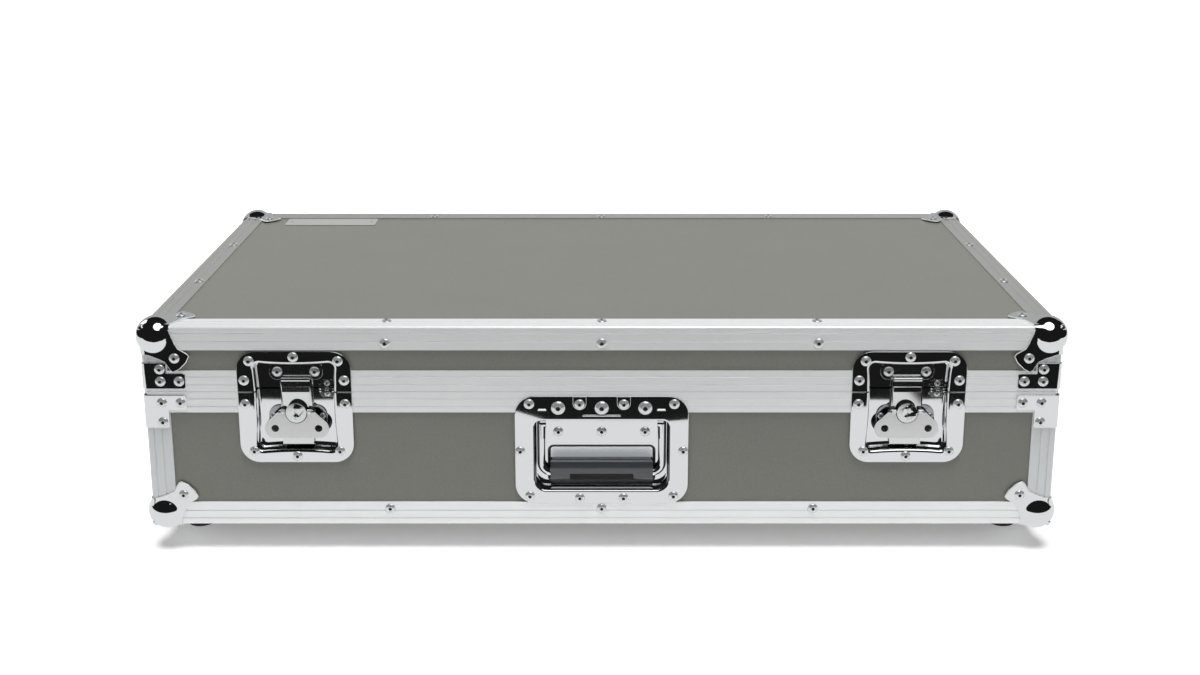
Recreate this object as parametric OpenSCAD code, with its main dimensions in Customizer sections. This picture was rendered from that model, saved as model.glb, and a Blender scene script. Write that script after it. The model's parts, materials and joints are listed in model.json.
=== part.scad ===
// Flight case for guitar pedals: laminated boards in aluminium extrusions, ball corners,
// two recessed butterfly latches, a recessed spring handle, and a lid on two back hinges.
// X runs along the front, Y goes back, Z up. Half frames have z = 0 at their outer board.

/* [Case] */
// Outer width over the extrusions
case_w = 880; // [780:5:1100]
// Outer depth over the extrusions
case_d = 460; // [380:5:600]
// Height of the base below the recess of the handle
base_below = 36.5; // [30:0.5:100]
// Height of the lid from the parting to its top edge
lid_h = 66; // [60:1:120]
// Thickness of the laminated boards
panel_t = 9; // [6:0.5:10]
// Gap between the base and the lid at the parting
parting_gap = 0.3; // [0.2:0.05:0.5]

/* [Extrusions] */
// Face width of the edge extrusions
edge_leg = 24; // [22:1:28]
// Wall of all extrusions
edge_wall = 1.5; // [1.2:0.1:1.8]
// Outer radius of the extruded corner
edge_r = 3; // [2:0.5:4]
// How far the inner leg reaches over the board
inner_lap = 6; // [4:0.5:8]
// Face width of the closure extrusions
closure_h = 21; // [20:0.5:24]
// Height of the tongue on the base closure
tongue_h = 3; // [2:0.5:4]
// Thickness of the tongue
tongue_t = 2.5; // [2:0.25:3]
// Distance of the grooves from the outer edge of a face
groove_line = 7; // [6:0.5:8]
// Distance between the two grooves of a face
groove_pitch = 8; // [7:0.5:9]
// Radius of the grooves
groove_r = 0.7; // [0.5:0.1:0.9]

/* [Ball corners] */
// Radius of the ball
ball_r = 19; // [18:0.5:20]
// Distance of the ball centre inside the faces
ball_inset = 12; // [11.5:0.5:12.5]
// Reach of the corner leaves along the edges
leaf_reach = 46; // [42:1:50]
// Thickness of all pressed steel plates
plate_t = 1.2; // [1:0.1:1.5]
// Reach of the corner braces along the faces
brace_reach = 41; // [38:1:48]
// Height of the arms of the corner braces
brace_arm = 15.5; // [14:0.5:16]
// Height of the base corner braces at the corner
brace_leg = 33.5; // [28:0.5:36]
// Height of the lid corner braces at the corner
lid_brace_leg = 26; // [24:0.5:26.5]
// Width of the legs of the corner braces
brace_leg_w = 23; // [19:1:24]

/* [Rivets] */
// Radius of the rivet heads
rivet_r = 5; // [4:0.2:5]
// Height of the rivet heads
rivet_h = 1.8; // [1.4:0.1:2.2]
// Distance of the edge rivets from the outer edge
rivet_line = 17; // [16.5:0.5:18]
// Distance of the outer rivets of the front and back from the corners
rivet_in = 233; // [180:1:240]
// Distance of the side rivets from the corners
side_rivet_in = 155; // [120:5:165]

/* [Latches] */
// Distance of each latch from its side of the case
latch_in = 145; // [110:1:160]
// Width of a latch dish
dish_w = 110; // [106:1:116]
// Height of the lid part of a latch dish
dish_up = 41; // [40:0.5:46]
// Height of the base part of a latch dish
dish_down = 72; // [71:0.5:76]
// Corner radius of a latch dish
dish_r = 19; // [14:0.5:20]
// Width of the latch recess between the corners
recess_w = 75.6; // [75:0.2:77]
// Height of the recess above the parting
recess_up = 28; // [27.5:0.5:29]
// Depth of the recess below the parting
recess_down = 59; // [59:0.5:61]
// Corner radius of the recess
recess_r = 6; // [4:0.5:8]
// Depth of the recess behind the face
recess_depth = 11; // [10.5:0.5:12]
// Distance of the cam below the parting
cam_drop = 22; // [21.5:0.1:22.5]
// Radius of the cam boss
boss_r = 10; // [9:0.25:10.2]
// Radius of the cam shaft
shaft_r = 4; // [3:0.25:5]
// Radius of the eccentric that drives the claw
eccentric_r = 7; // [6:0.25:7.5]
// Offset of the eccentric, half of the claw's travel
eccentric_throw = 4; // [3:0.1:4]
// Radial clearance of shafts and pins
running_gap = 0.05; // [0.03:0.01:0.08]
// Half width between the corner centres of the wing
wing_half = 21; // [19:0.25:21]
// Corner radius of the wing
wing_r = 10; // [8:0.25:10]
// Thickness of the wing
wing_t = 1.5; // [1.2:0.1:1.8]
// Radius of the finger holes in the wing
wing_hole_r = 3.6; // [3:0.1:4.5]
// Width of the claw
claw_w = 30; // [28:0.5:32]
// Width of the padlock lugs
lug_w = 15; // [13:0.5:15.5]
// Radius of the padlock holes
lug_hole_r = 1.9; // [1.5:0.1:2]

/* [Handle] */
// Width of the handle dish beside its recess
grip_dish_side = 19; // [17:0.5:22]
// Corner radius of the handle dish
grip_dish_r = 20; // [14:0.5:22]
// Distance of the handle dish below the parting
grip_dish_top = 4.2; // [3.5:0.1:5]
// Height of the handle dish
grip_dish_h = 111; // [109:0.5:111.5]
// Distance of the bail legs from the sides of the recess
recess_side = 6; // [5:0.25:7]
// Height of the handle recess
grip_recess_h = 72; // [71.5:0.5:74]
// Depth of the handle recess down to its shelf
shelf_depth = 13.5; // [13.3:0.1:15]
// Depth of the pocket behind the grip
pocket_depth = 18.5; // [16:0.1:20]
// Radius of the bail wire
wire_r = 3.9; // [3.2:0.1:4]
// Distance of the bail legs from the ends of the grip
bail_space = 9; // [8:0.25:10]
// Width of the grip
grip_w = 100; // [90:1:104]
// Height of the grip
grip_h = 26; // [24:0.5:27]
// Thickness of the grip
grip_t = 14; // [12:0.5:14.4]

/* [Hinges] */
// Distance of each hinge from its side of the case
hinge_in = 178; // [120:1:200]
// Width of a hinge
hinge_w = 60; // [50:1:80]
// Radius of the hinge knuckles
knuckle_r = 3.2; // [3:0.1:3.3]
// Radius of the hinge pins
hinge_pin_r = 1.6; // [1.2:0.1:1.8]

/* [Feet and foam] */
// Height of the rubber feet
foot_h = 27; // [20:1:35]
// Radius of a foot at the case
foot_r = 16; // [14:0.5:18]
// Radius of a foot at the floor
foot_tip_r = 13.5; // [11:0.5:14]
// Thickness of the floor foam
floor_foam_t = 15; // [8:1:30]
// Thickness of the wall foam
wall_foam_t = 12; // [8:0.5:15]
// Thickness of the lid foam
lid_foam_t = 18; // [8:1:20]
// Clearance around the foam
foam_gap = 0.3; // [0.2:0.1:0.5]

/* [Hidden] */
$fn = 64;
over = 1;
flat_gap = 0.3;
step_gap = 0.8;
// Extrusion sections
channel = edge_wall + panel_t;
tube = channel + edge_wall;
inner_end = tube + inner_lap;
mitre = edge_leg + over;
base_web = 2;
lid_web = 5;
groove_out_share = 0.12;
groove_out = groove_r * groove_out_share;
tongue_n = 3;
tongue_gap = 0.7;
slot_gap = 0.4;
tongue_top_gap = 0.6;
closure_inner = closure_h - inner_lap;
closure_cut = edge_r + slot_gap;
// Heights and places that follow the case
grip_recess_top = 29.5;
base_h = grip_recess_top + grip_recess_h + base_below;
latch_x = case_w / 2 - latch_in;
hinge_x = case_w / 2 - hinge_in;
rivet_pitch = case_w / 2 - rivet_in;
side_rivet_pitch = case_d - 2 * side_rivet_in;
parting_z = foot_h + base_h;
top_z = parting_z + lid_h;
lid_rise = lid_h - parting_gap;
// Ball corners
ball_wall = 1.5;
ball_trim = ball_inset + over;
leaf_shares = [[0, 0], [0.61, 0], [0.63, 0.13], [0.72, 0.37], [0.78, 0.48], [0.96, 0.59], [1, 0.65],
    [0.935, 0.785], [0.785, 0.935], [0.65, 1], [0.59, 0.96], [0.48, 0.78], [0.37, 0.72], [0.13, 0.63],
    [0, 0.61]];
leaf_rivet_share = 0.69;
brace_off = 3;
brace_corner_r = 2.5;
brace_rivet_in = 1.1;
// Rivets
rivet_dimple_r = 1.3;
rivet_dimple_h = 0.9;
dome_r = (rivet_r * rivet_r + rivet_h * rivet_h) / (2 * rivet_h);
small_rivet_share = 0.6;
cam_rivet_share = 0.56;
cam_rivet_y = 4.2;
// Bow of the recess sides between its flared corners
recess_bow = 1.6;
// Latch layers, as depths behind the face of the extrusions
boss_n = 0.9;
boss_back_n = 5.7;
claw_n = 6;
claw_t = 1.5;
eccentric_back_n = 7.8;
base_plate_t = 1.5;
base_plate_n = recess_depth - base_plate_t;
shaft_back_n = recess_depth - flat_gap;
wing_n = 1.5;
wing_pin_r = 1;
wing_knuckle_r = 2;
wing_knuckle_n = wing_n + wing_t / 2;
wing_pivot_up = 1;
wing_top = 3.6;
wing_low = 16;
wing_top_half = 15;
wing_notch_gap = 0.8;
wing_knuckle_len = 4;
claw_top = 12.6;
claw_low = 30;
claw_flange_n = base_plate_n - flat_gap;
claw_tip_r = 2;
claw_step_t = 1.2;
claw_step_low = -2.2;
claw_step_h = 5.2;
claw_window_gap = 1;
claw_side_gap = 0.5;
guide_t = 1.5;
guide_h = 8;
guide_n = 5;
guide_in = 5;
base_plate_half = 28;
base_plate_up = 5;
base_plate_low = 24;
base_plate_r = 10;
keeper_half = 25.7;
keeper_low = 9;
keeper_high = 27;
keeper_r = 7;
keeper_lip_half = 15;
keeper_lip_n = claw_n + claw_t + slot_gap;
keeper_t = 1.3;
keeper_rivet_x = 18;
keeper_rivet_y = 17.2;
lug_x = 29.5;
lug_t = 1.3;
lug_off = 0.6;
lug_reach = keeper_low - flat_gap;
lug_out_n = 3.9;
lug_r = 4;
lug_tab_r = (recess_depth - lug_t - lug_out_n) / 2;
lug_rivet_up = (lug_off + lug_t + lug_reach) / 2;
small_rivet_r = rivet_r * small_rivet_share;
plate_rivet_x = base_plate_half - small_rivet_r - over;
// Rivets of a latch dish: distance from the middle, and height above or below the parting
dish_rivet_x = 42.5;
dish_rivet_high = 31.5;
dish_rivet_top = 35.5;
dish_rivet_side = 48;
dish_rivet_side_z = 12;
dish_rivet_low = 60.5;
dish_rivet_low_x = 41.5;
dish_rivet_bottom = 65.5;
latch_cut_gap = 0.3;
latch_cut_half = recess_w / 2 + recess_bow + plate_t + latch_cut_gap;
// Handle
bail_half = grip_w / 2 + bail_space;
grip_recess_w = 2 * (bail_half + recess_side);
grip_dish_w = grip_recess_w + 2 * grip_dish_side;
grip_recess_r = 12;
pocket_side = 3.5;
pocket_w = grip_w + 2 * pocket_side;
pocket_h = 42;
pocket_top = 58.5;
pocket_r = 6;
pivot_drop = 35.5;
pivot_n = 8.8;
cover_side = 5;
cover_half = bail_half - cover_side;
cover_top = 30.1;
cover_bottom = 53.5;
cover_n = 3.3;
cheek_t = 6;
rod_r = 2;
rod_end_gap = 0.3;
spring_r = 3.3;
spring_len = 26;
spring_x = 26;
spring_gap = 0.3;
relief_w = 11;
relief_top = 16.5;
relief_depth = 12.8;
relief_r = 5.4;
bend_r = 10;
bail_low = 86;
grip_mid = 84;
grip_n = 1;
grip_edge_r = 6;
grip_end_r = 3;
grip_slot_w = 62;
grip_slot_r = 1.5;
grip_slot_h = 7;
grip_slot_drop = 4.7;
grip_slot_depth = 2.8;
grip_crown_r = 22;
grip_crown_up = 3;
bail_stub_len = 13;
bail_stub_in = bail_half - bail_stub_len;
handle_rivet_in = 14;
handle_rivet_x = grip_dish_w / 2 - handle_rivet_in;
handle_rivet_mid_x = 21.3;
handle_rivet_top = 12;
handle_rivet_low = 107.5;
handle_rivet_low_mid = 109.5;
handle_rivet_side_in = 5;
handle_rivet_side_x = grip_dish_w / 2 - handle_rivet_side_in;
handle_rivet_side = 60.7;
cover_rivet_in = 12;
cover_rivet_x = cover_half - cover_rivet_in;
cover_rivet_top = 16;
cover_rivet_share = 1.35;
tab_half = 6.5;
tab_low = 17.8;
tab_rise = 0.8;
ridge_half = 18.5;
ridge_drop = 23.9;
ridge_w = 1.8;
ridge_rise = 0.6;
cover_rivet_low = 42;
grip_cut_gap = 0.3;
// Hinges
knuckle_out = knuckle_r;
hinge_plate_h = 19;
hinge_knuckle_gap = 0.3;
hinge_rivet_x = 21;
hinge_rivet_z = 11;
hinge_knuckles = 5;
// Feet
foot_x = 29;
foot_y = 66;
foot_hole_r = 7;
foot_hole_h = 14;
foot_shank_r = 2.5;
foot_head_r = 5;
foot_head_h = 3;
foot_floor = foot_h - foot_hole_h;
screw_end = 6;
// Foam
wall_foam_top = 8;
wall_foam_in = tube + foam_gap + flat_gap;
foam_relief_gap = 0.3;
lid_foam_in = inner_end + foam_gap;

// Places

// Base frame: z = 0 at the bottom of the case, corner of the case at the origin
module in_base() translate([-case_w / 2, -case_d / 2, foot_h]) children();

// Lid frame: z = 0 at the top of the case, z grows down to the parting
module in_lid() translate([-case_w / 2, -case_d / 2, top_z]) mirror([0, 0, 1]) children();

// Corner frames of one half: x, y and z grow inwards from each corner
module each_corner()
    for (right = [0, 1], back = [0, 1])
        translate([right * case_w, back * case_d, 0])
            mirror([right, 0, 0]) mirror([0, back, 0]) children();

// Face frames of one half: x runs along the face from its corner, y up the face, z outwards
module on_front_edge() rotate([90, 0, 0]) children();
module on_back_edge() translate([case_w, case_d, 0]) rotate([90, 0, 180]) children();
module on_left_edge() translate([0, case_d, 0]) rotate([90, 0, -90]) children();
module on_right_edge() translate([case_w, 0, 0]) rotate([90, 0, 90]) children();

// Front face frame with its origin on the parting: x from the middle, y up, z outwards
module on_front() translate([0, -case_d / 2, parting_z]) rotate([90, 0, 0]) children();
module on_back() translate([0, case_d / 2, parting_z]) rotate([90, 0, 180]) children();

// Flat shapes

module rounded(w, h, r) {
    square([w - 2 * r, h], center = true);
    square([w, h - 2 * r], center = true);
    for (x = [-1, 1], y = [-1, 1])
        translate([x * (w / 2 - r), y * (h / 2 - r)]) circle(r);
}

// Rounded rectangle between two heights, centred on x
module rounded_span(w, low, high, r) translate([0, (low + high) / 2]) rounded(w, high - low, r);

// Radius of an arc over a chord that rises by a bow
function bow_radius(chord, bow) = (chord * chord / 4 + bow * bow) / (2 * bow);

// Outline of the latch recess, grown by r: its four sides bow inwards between the corners
module recess_outline(r = 0) {
    w = recess_w + 2 * recess_bow;
    h = recess_up + recess_down + 2 * recess_bow;
    side_r = bow_radius(h - recess_r, recess_bow);
    end_r = bow_radius(w - recess_r, recess_bow);
    translate([0, (recess_up - recess_down) / 2]) difference() {
        rounded(w + 2 * r, h + 2 * r, recess_r + r);
        for (x = [-1, 1]) translate([x * (recess_w / 2 + side_r), 0]) circle(side_r - r, $fn = 720);
        for (y = [-1, 1]) translate([0, y * (h / 2 - recess_bow + end_r)]) circle(end_r - r, $fn = 720);
    }
}

// Outlines of the recess, its pocket and its two reliefs in the handle dish, grown by r
module pocket_outline(r = 0)
    rounded_span(pocket_w + 2 * r, -pocket_top - pocket_h - r, r - pocket_top, pocket_r + r);
module grip_recess_outline(r = 0)
    rounded_span(grip_recess_w + 2 * r, -grip_recess_top - grip_recess_h - r, r - grip_recess_top,
        grip_recess_r + r);
module relief_outline(r = 0)
    for (side = [-1, 1]) translate([side * bail_half, 0])
        rounded_span(relief_w + 2 * r, -grip_recess_top - 2 * relief_r - r, r - relief_top, relief_r + r);

module grooves() {
    for (i = [0, 1]) {
        translate([groove_line + i * groove_pitch, -groove_out]) circle(groove_r, $fn = 24);
    }
}

// Section of the double angle: two faces, a square tube in the corner and two inner legs
module edge_section() {
    difference() {
        union() {
            translate([edge_r, edge_r]) circle(edge_r);
            translate([edge_r, 0]) square([edge_leg - edge_r, edge_wall]);
            translate([0, edge_r]) square([edge_wall, edge_leg - edge_r]);
            translate([edge_r, 0]) square([tube - edge_r, tube]);
            translate([0, edge_r]) square([tube, tube - edge_r]);
            translate([channel, 0]) square([edge_wall, inner_end]);
            translate([0, channel]) square([inner_end, edge_wall]);
        }
        translate([edge_wall, edge_wall]) square(channel - edge_wall);
        grooves();
        mirror([1, -1]) grooves();
    }
}

// Section of the closures: x is the depth behind the face, y the distance from the parting
module closure_section(web) {
    difference() {
        union() {
            square([edge_wall, closure_h]);
            square([tube, web]);
            translate([channel, 0]) square([edge_wall, closure_inner]);
        }
        mirror([1, -1]) grooves();
    }
}

module base_closure_section() {
    closure_section(base_web);
    translate([tongue_n, -tongue_h]) square([tongue_t, tongue_h + over]);
}

module lid_closure_section() {
    difference() {
        closure_section(lid_web);
        translate([tongue_n - tongue_gap, -over])
            square([tongue_t + 2 * tongue_gap, over + tongue_h + tongue_top_gap - parting_gap]);
    }
}

// Straight lengths cut to mitres

module mitred_plan(len, w) polygon([[0, 0], [len, 0], [len - w, w], [w, w]]);

// Edge along x, cut where the other two edges of each corner begin
module edge_x(len) {
    difference() {
        intersection() {
            rotate([90, 0, 90]) linear_extrude(len) edge_section();
            linear_extrude(mitre) mitred_plan(len, mitre);
            translate([0, mitre, 0]) rotate([90, 0, 0]) linear_extrude(mitre) mitred_plan(len, mitre);
        }
        translate([-over, -over, -over]) cube(ball_trim + over);
        translate([len - ball_trim, -over, -over]) cube(ball_trim + over);
    }
}

module edge_y(len) mirror([1, -1, 0]) edge_x(len);

// Corner post of a half, up to its closures
module post(top) {
    difference() {
        intersection() {
            linear_extrude(top) edge_section();
            translate([0, mitre, 0]) rotate([90, 0, 0]) linear_extrude(mitre)
                polygon([[0, 0], [mitre, mitre], [mitre, top], [0, top]]);
            rotate([90, 0, 90]) linear_extrude(mitre)
                polygon([[0, 0], [mitre, mitre], [mitre, top], [0, top]]);
        }
        translate([-over, -over, -over]) cube(ball_trim + over);
    }
}

// Plan of a run of the case with its two outer corners cut off
module run_plan(len)
    polygon([[closure_cut, 0], [len - closure_cut, 0], [len, closure_cut], [len, mitre], [0, mitre],
        [0, closure_cut]]);

// Closure along x in a half frame of height top, mitred in plan
module closure_x(len, top) {
    intersection() {
        translate([0, 0, top]) mirror([0, 0, 1]) rotate([90, 0, 90]) linear_extrude(len) children();
        translate([0, 0, top - closure_h - over])
            linear_extrude(closure_h + tongue_h + 2 * over) intersection() {
                mitred_plan(len, tube + over);
                run_plan(len);
            }
    }
}

module closure_y(len, top) mirror([1, -1, 0]) closure_x(len, top) children();

// Rivets and screws

module rivet(scale_share = 1) {
    r = rivet_r * scale_share;
    h = rivet_h * scale_share;
    color("gainsboro") difference() {
        intersection() {
            translate([0, 0, h - dome_r * scale_share]) sphere(dome_r * scale_share, $fn = 48);
            cylinder(r = r, h = h, $fn = 32);
        }
        translate([0, 0, h - rivet_dimple_h * scale_share])
            cylinder(r = rivet_dimple_r * scale_share, h = h, $fn = 24);
    }
}

// The rivets along one edge: both faces of a long or a side edge
module edge_rivets_x(y)
    for (i = [-1, 0, 1]) translate([case_w / 2 + i * rivet_pitch, y, 0]) rivet();

module edge_rivets_y(y)
    for (i = [-1, 1]) translate([case_d / 2 + i * side_rivet_pitch / 2, y, 0]) rivet();

// Rivets on all faces along the outer edge of a half
module half_edge_rivets() {
    on_front_edge() edge_rivets_x(rivet_line);
    on_back_edge() edge_rivets_x(rivet_line);
    on_left_edge() edge_rivets_y(rivet_line);
    on_right_edge() edge_rivets_y(rivet_line);
    mirror([0, 0, 1]) {
        edge_rivets_x(rivet_line);
        edge_rivets_x(case_d - rivet_line);
        mirror([1, -1, 0]) {
            edge_rivets_y(rivet_line);
            edge_rivets_y(case_w - rivet_line);
        }
    }
}

// Boards

// Board on the front or back of a half of height h, in its face frame
module wall_board(len, h, web) {
    translate([tube, tube, -channel]) cube([len - 2 * tube, h - tube - web, panel_t]);
}

module flat_board() {
    color("dimgray") translate([tube, tube, edge_wall])
        cube([case_w - 2 * tube, case_d - 2 * tube, panel_t]);
}

module latch_cuts(r) {
    for (side = [-1, 1])
        translate([side * latch_x, 0, -tube - over]) linear_extrude(tube + 2 * over) recess_outline(r);
}

module handle_cut() {
    translate([0, 0, -tube - over]) linear_extrude(tube + 2 * over) {
        grip_recess_outline(plate_t + grip_cut_gap);
        relief_outline(plate_t + grip_cut_gap);
    }
}

module base_front_panel() {
    color("dimgray") difference() {
        in_base() on_front_edge() wall_board(case_w, base_h, base_web);
        on_front() latch_cuts(plate_t + latch_cut_gap);
        on_front() handle_cut();
    }
}

module base_back_panel() color("dimgray") in_base() on_back_edge() wall_board(case_w, base_h, base_web);

module base_side_panels() color("dimgray") in_base() {
    on_left_edge() wall_board(case_d, base_h, base_web);
    on_right_edge() wall_board(case_d, base_h, base_web);
}

module floor_panel() {
    color("dimgray") difference() {
        in_base() flat_board();
        in_base() each_corner() translate([foot_x, foot_y, -over])
            cylinder(r = foot_shank_r, h = screw_end + edge_wall + over);
    }
}

module lid_front_panel() {
    color("dimgray") difference() {
        in_lid() on_front_edge() wall_board(case_w, lid_rise, lid_web);
        on_front() latch_cuts(plate_t + latch_cut_gap);
    }
}

module lid_back_panel() color("dimgray") in_lid() on_back_edge() wall_board(case_w, lid_rise, lid_web);

module lid_side_panels() color("dimgray") in_lid() {
    on_left_edge() wall_board(case_d, lid_rise, lid_web);
    on_right_edge() wall_board(case_d, lid_rise, lid_web);
}

module lid_top_panel() in_lid() flat_board();

// Extrusions of one half

module front_edge() color("silver") edge_x(case_w);
module back_edge() color("silver") translate([0, case_d, 0]) mirror([0, 1, 0]) edge_x(case_w);
module side_edges() color("silver") {
    edge_y(case_d);
    translate([case_w, 0, 0]) mirror([1, 0, 0]) edge_y(case_d);
}
module corner_posts(top) color("silver") each_corner() post(top - closure_h);

module latch_notches() {
    on_front() for (side = [-1, 1])
        translate([side * latch_x - latch_cut_half, -closure_h - over, -tube - over])
            cube([2 * latch_cut_half, 2 * (closure_h + over), tube + 2 * over]);
}

module base_front_closure() {
    color("silver") difference() {
        in_base() closure_x(case_w, base_h) base_closure_section();
        latch_notches();
        on_front() handle_cut();
    }
}

module base_back_closure() color("silver") in_base()
    translate([0, case_d, 0]) mirror([0, 1, 0]) closure_x(case_w, base_h) base_closure_section();

module base_side_closures() color("silver") in_base() {
    closure_y(case_d, base_h) base_closure_section();
    translate([case_w, 0, 0]) mirror([1, 0, 0]) closure_y(case_d, base_h) base_closure_section();
}

module lid_front_closure() {
    color("silver") difference() {
        in_lid() closure_x(case_w, lid_rise) lid_closure_section();
        latch_notches();
    }
}

module lid_back_closure() color("silver") in_lid()
    translate([0, case_d, 0]) mirror([0, 1, 0]) closure_x(case_w, lid_rise) lid_closure_section();

module lid_side_closures() color("silver") in_lid() {
    closure_y(case_d, lid_rise) lid_closure_section();
    translate([case_w, 0, 0]) mirror([1, 0, 0]) closure_y(case_d, lid_rise) lid_closure_section();
}

// Ball corners and braces

// Plan of the outer corner of the extrusions
module corner_plan() {
    translate([edge_r, edge_r]) circle(edge_r);
    translate([edge_r, 0]) square(2 * leaf_reach);
    translate([0, edge_r]) square(2 * leaf_reach);
}

// Space that the extruded corner takes, with its three rounded edges
module corner_block() {
    intersection() {
        linear_extrude(2 * leaf_reach) corner_plan();
        rotate([90, 0, 90]) linear_extrude(2 * leaf_reach) corner_plan();
        mirror([0, 1, 0]) rotate([90, 0, 0]) linear_extrude(2 * leaf_reach) corner_plan();
    }
}

// One leaf on the face z = 0 and its bend round the edge along x
module leaf() {
    mirror([0, 0, 1]) linear_extrude(plate_t) intersection() {
        polygon(leaf_reach * leaf_shares);
        translate([edge_r, edge_r]) square(leaf_reach);
    }
    rotate([90, 0, 90]) linear_extrude(leaf_reach * leaf_shares[1][0]) intersection() {
        translate([edge_r, edge_r]) circle(edge_r + plate_t);
        translate([-plate_t, -plate_t]) square(edge_r + plate_t);
    }
}

// One ball corner: a hollow ball outside the faces and three leaves on them
module ball_corner() {
    difference() {
        union() {
            translate([ball_inset, ball_inset, ball_inset]) sphere(ball_r);
            leaf();
            rotate([90, 0, 90]) leaf();
            rotate([0, -90, -90]) leaf();
        }
        translate([ball_inset, ball_inset, ball_inset]) sphere(ball_r - ball_wall);
        corner_block();
    }
}

module ball_corners() color("gainsboro") each_corner() ball_corner();

module leaf_rivets() {
    at = leaf_reach * leaf_rivet_share;
    each_corner() {
        translate([at, at, -plate_t]) mirror([0, 0, 1]) rivet();
        mirror([0, -1, 1]) translate([at, at, -plate_t]) mirror([0, 0, 1]) rivet();
        mirror([-1, 0, 1]) translate([at, at, -plate_t]) mirror([0, 0, 1]) rivet();
    }
}

// Outline of one face of a brace: x from the corner, y from the parting
module brace_face(leg) {
    translate([edge_r, 0]) square([brace_reach - edge_r - brace_corner_r, brace_arm]);
    translate([edge_r, brace_corner_r]) square([brace_reach - edge_r, brace_arm - 2 * brace_corner_r]);
    translate([edge_r, 0]) square([brace_leg_w - edge_r, leg - brace_corner_r]);
    translate([edge_r, 0]) square([brace_leg_w - edge_r - brace_corner_r, leg]);
    translate([brace_leg_w - brace_corner_r, leg - brace_corner_r]) circle(brace_corner_r);
    for (y = [brace_corner_r, brace_arm - brace_corner_r])
        translate([brace_reach - brace_corner_r, y]) circle(brace_corner_r);
}

// One brace in a corner frame of a half of height top
module brace(top, leg) {
    translate([0, 0, top - brace_off]) mirror([0, 0, 1]) {
        rotate([90, 0, 0]) linear_extrude(plate_t) brace_face(leg);
        mirror([1, -1, 0]) rotate([90, 0, 0]) linear_extrude(plate_t) brace_face(leg);
        translate([edge_r, edge_r, 0]) rotate([0, 0, 180]) rotate_extrude(angle = 90)
            translate([edge_r, 0]) square([plate_t, leg]);
    }
}

module braces(top, leg) color("gainsboro") each_corner() brace(top, leg);

// Places of the brace rivets: distance from the corner and from the brace's edge
function brace_rivets(leg) =
    let (in = rivet_r + brace_rivet_in)
    [[brace_leg_w - in, brace_arm / 2], [brace_reach - in, brace_arm / 2], [brace_leg_w - in, leg - in]];

module brace_rivet_face(top, leg)
    for (p = brace_rivets(leg))
        translate([p[0], -plate_t, top - brace_off - p[1]]) rotate([90, 0, 0]) rivet();

module all_brace_rivets(top, leg) each_corner() {
    brace_rivet_face(top, leg);
    mirror([1, -1, 0]) brace_rivet_face(top, leg);
}

// Feet

module at_feet() in_base() each_corner() translate([foot_x, foot_y, -foot_h]) children();

module rubber_feet() {
    color("black") at_feet() difference() {
        cylinder(r1 = foot_tip_r, r2 = foot_r, h = foot_h);
        translate([0, 0, -over]) cylinder(r = foot_hole_r, h = foot_hole_h + over);
        cylinder(r = foot_shank_r, h = foot_h + over);
    }
}

module foot_screws() {
    color("gray") at_feet() {
        translate([0, 0, foot_hole_h - foot_head_h]) cylinder(r = foot_head_r, h = foot_head_h);
        translate([0, 0, foot_hole_h]) cylinder(r = foot_shank_r, h = foot_floor + edge_wall + screw_end);
    }
}

// Latches

module at_latch(side) on_front() translate([side * latch_x, 0, 0]) children();

module latch_dish() {
    difference() {
        union() {
            linear_extrude(plate_t) rounded_span(dish_w, -dish_down, dish_up, dish_r);
            translate([0, 0, -recess_depth - plate_t]) linear_extrude(recess_depth + plate_t)
                recess_outline(plate_t);
        }
        translate([0, 0, -recess_depth]) linear_extrude(recess_depth + plate_t + over) recess_outline();
    }
}

module base_dish(side) {
    color("gainsboro") at_latch(side) intersection() {
        latch_dish();
        translate([-dish_w, -2 * dish_down, -dish_w]) cube([2 * dish_w, 2 * dish_down, 2 * dish_w]);
    }
}

module lid_dish(side) {
    color("gainsboro") at_latch(side) intersection() {
        latch_dish();
        translate([-dish_w, parting_gap, -dish_w]) cube([2 * dish_w, 2 * dish_up, 2 * dish_w]);
    }
}

// Mechanism plate on the floor of the base dish, with the shaft bore and two pairs of guides
module latch_base_plate() {
    translate([0, -cam_drop, 0]) difference() {
        union() {
            translate([0, 0, -recess_depth]) linear_extrude(base_plate_t)
                rounded_span(2 * base_plate_half, -base_plate_low, base_plate_up, base_plate_r);
            for (side = [-1, 1], y = [-base_plate_low + guide_in, base_plate_up - guide_in - guide_h])
                translate([side * (claw_w / 2 + claw_side_gap + guide_t / 2) - guide_t / 2, y, -recess_depth])
                    cube([guide_t, guide_h, recess_depth - guide_n]);
        }
        translate([0, 0, -recess_depth - over]) cylinder(r = shaft_r + running_gap, h = recess_depth);
    }
}

module latch_base_plates() color("silver") for (side = [-1, 1]) at_latch(side) latch_base_plate();

// Cam: shaft, eccentric, boss and the cross pin of the wing
module cam() {
    translate([0, -cam_drop, 0]) {
        translate([0, 0, -boss_back_n]) cylinder(r = boss_r, h = boss_back_n - boss_n);
        translate([0, -eccentric_throw, -eccentric_back_n])
            cylinder(r = eccentric_r, h = eccentric_back_n - boss_back_n);
        translate([0, 0, -shaft_back_n]) cylinder(r = shaft_r, h = shaft_back_n - boss_back_n);
        translate([-boss_r - wing_notch_gap - wing_knuckle_len, wing_pivot_up, -wing_knuckle_n])
            rotate([0, 90, 0]) cylinder(r = wing_pin_r, h = 2 * (boss_r + wing_notch_gap + wing_knuckle_len));
        for (i = [-1, 1]) translate([0, i * cam_rivet_y, -boss_n]) rivet(cam_rivet_share);
    }
}

// Tangent point from p to the circle at c of radius r, on the right of the way from p to c
function tangent(p, c, r) =
    let (d = c - p, l = norm(d), a = atan2(d[1], d[0]) + asin(r / l), t = sqrt(l * l - r * r))
    [p[0] + t * cos(a), p[1] + t * sin(a)];

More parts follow.
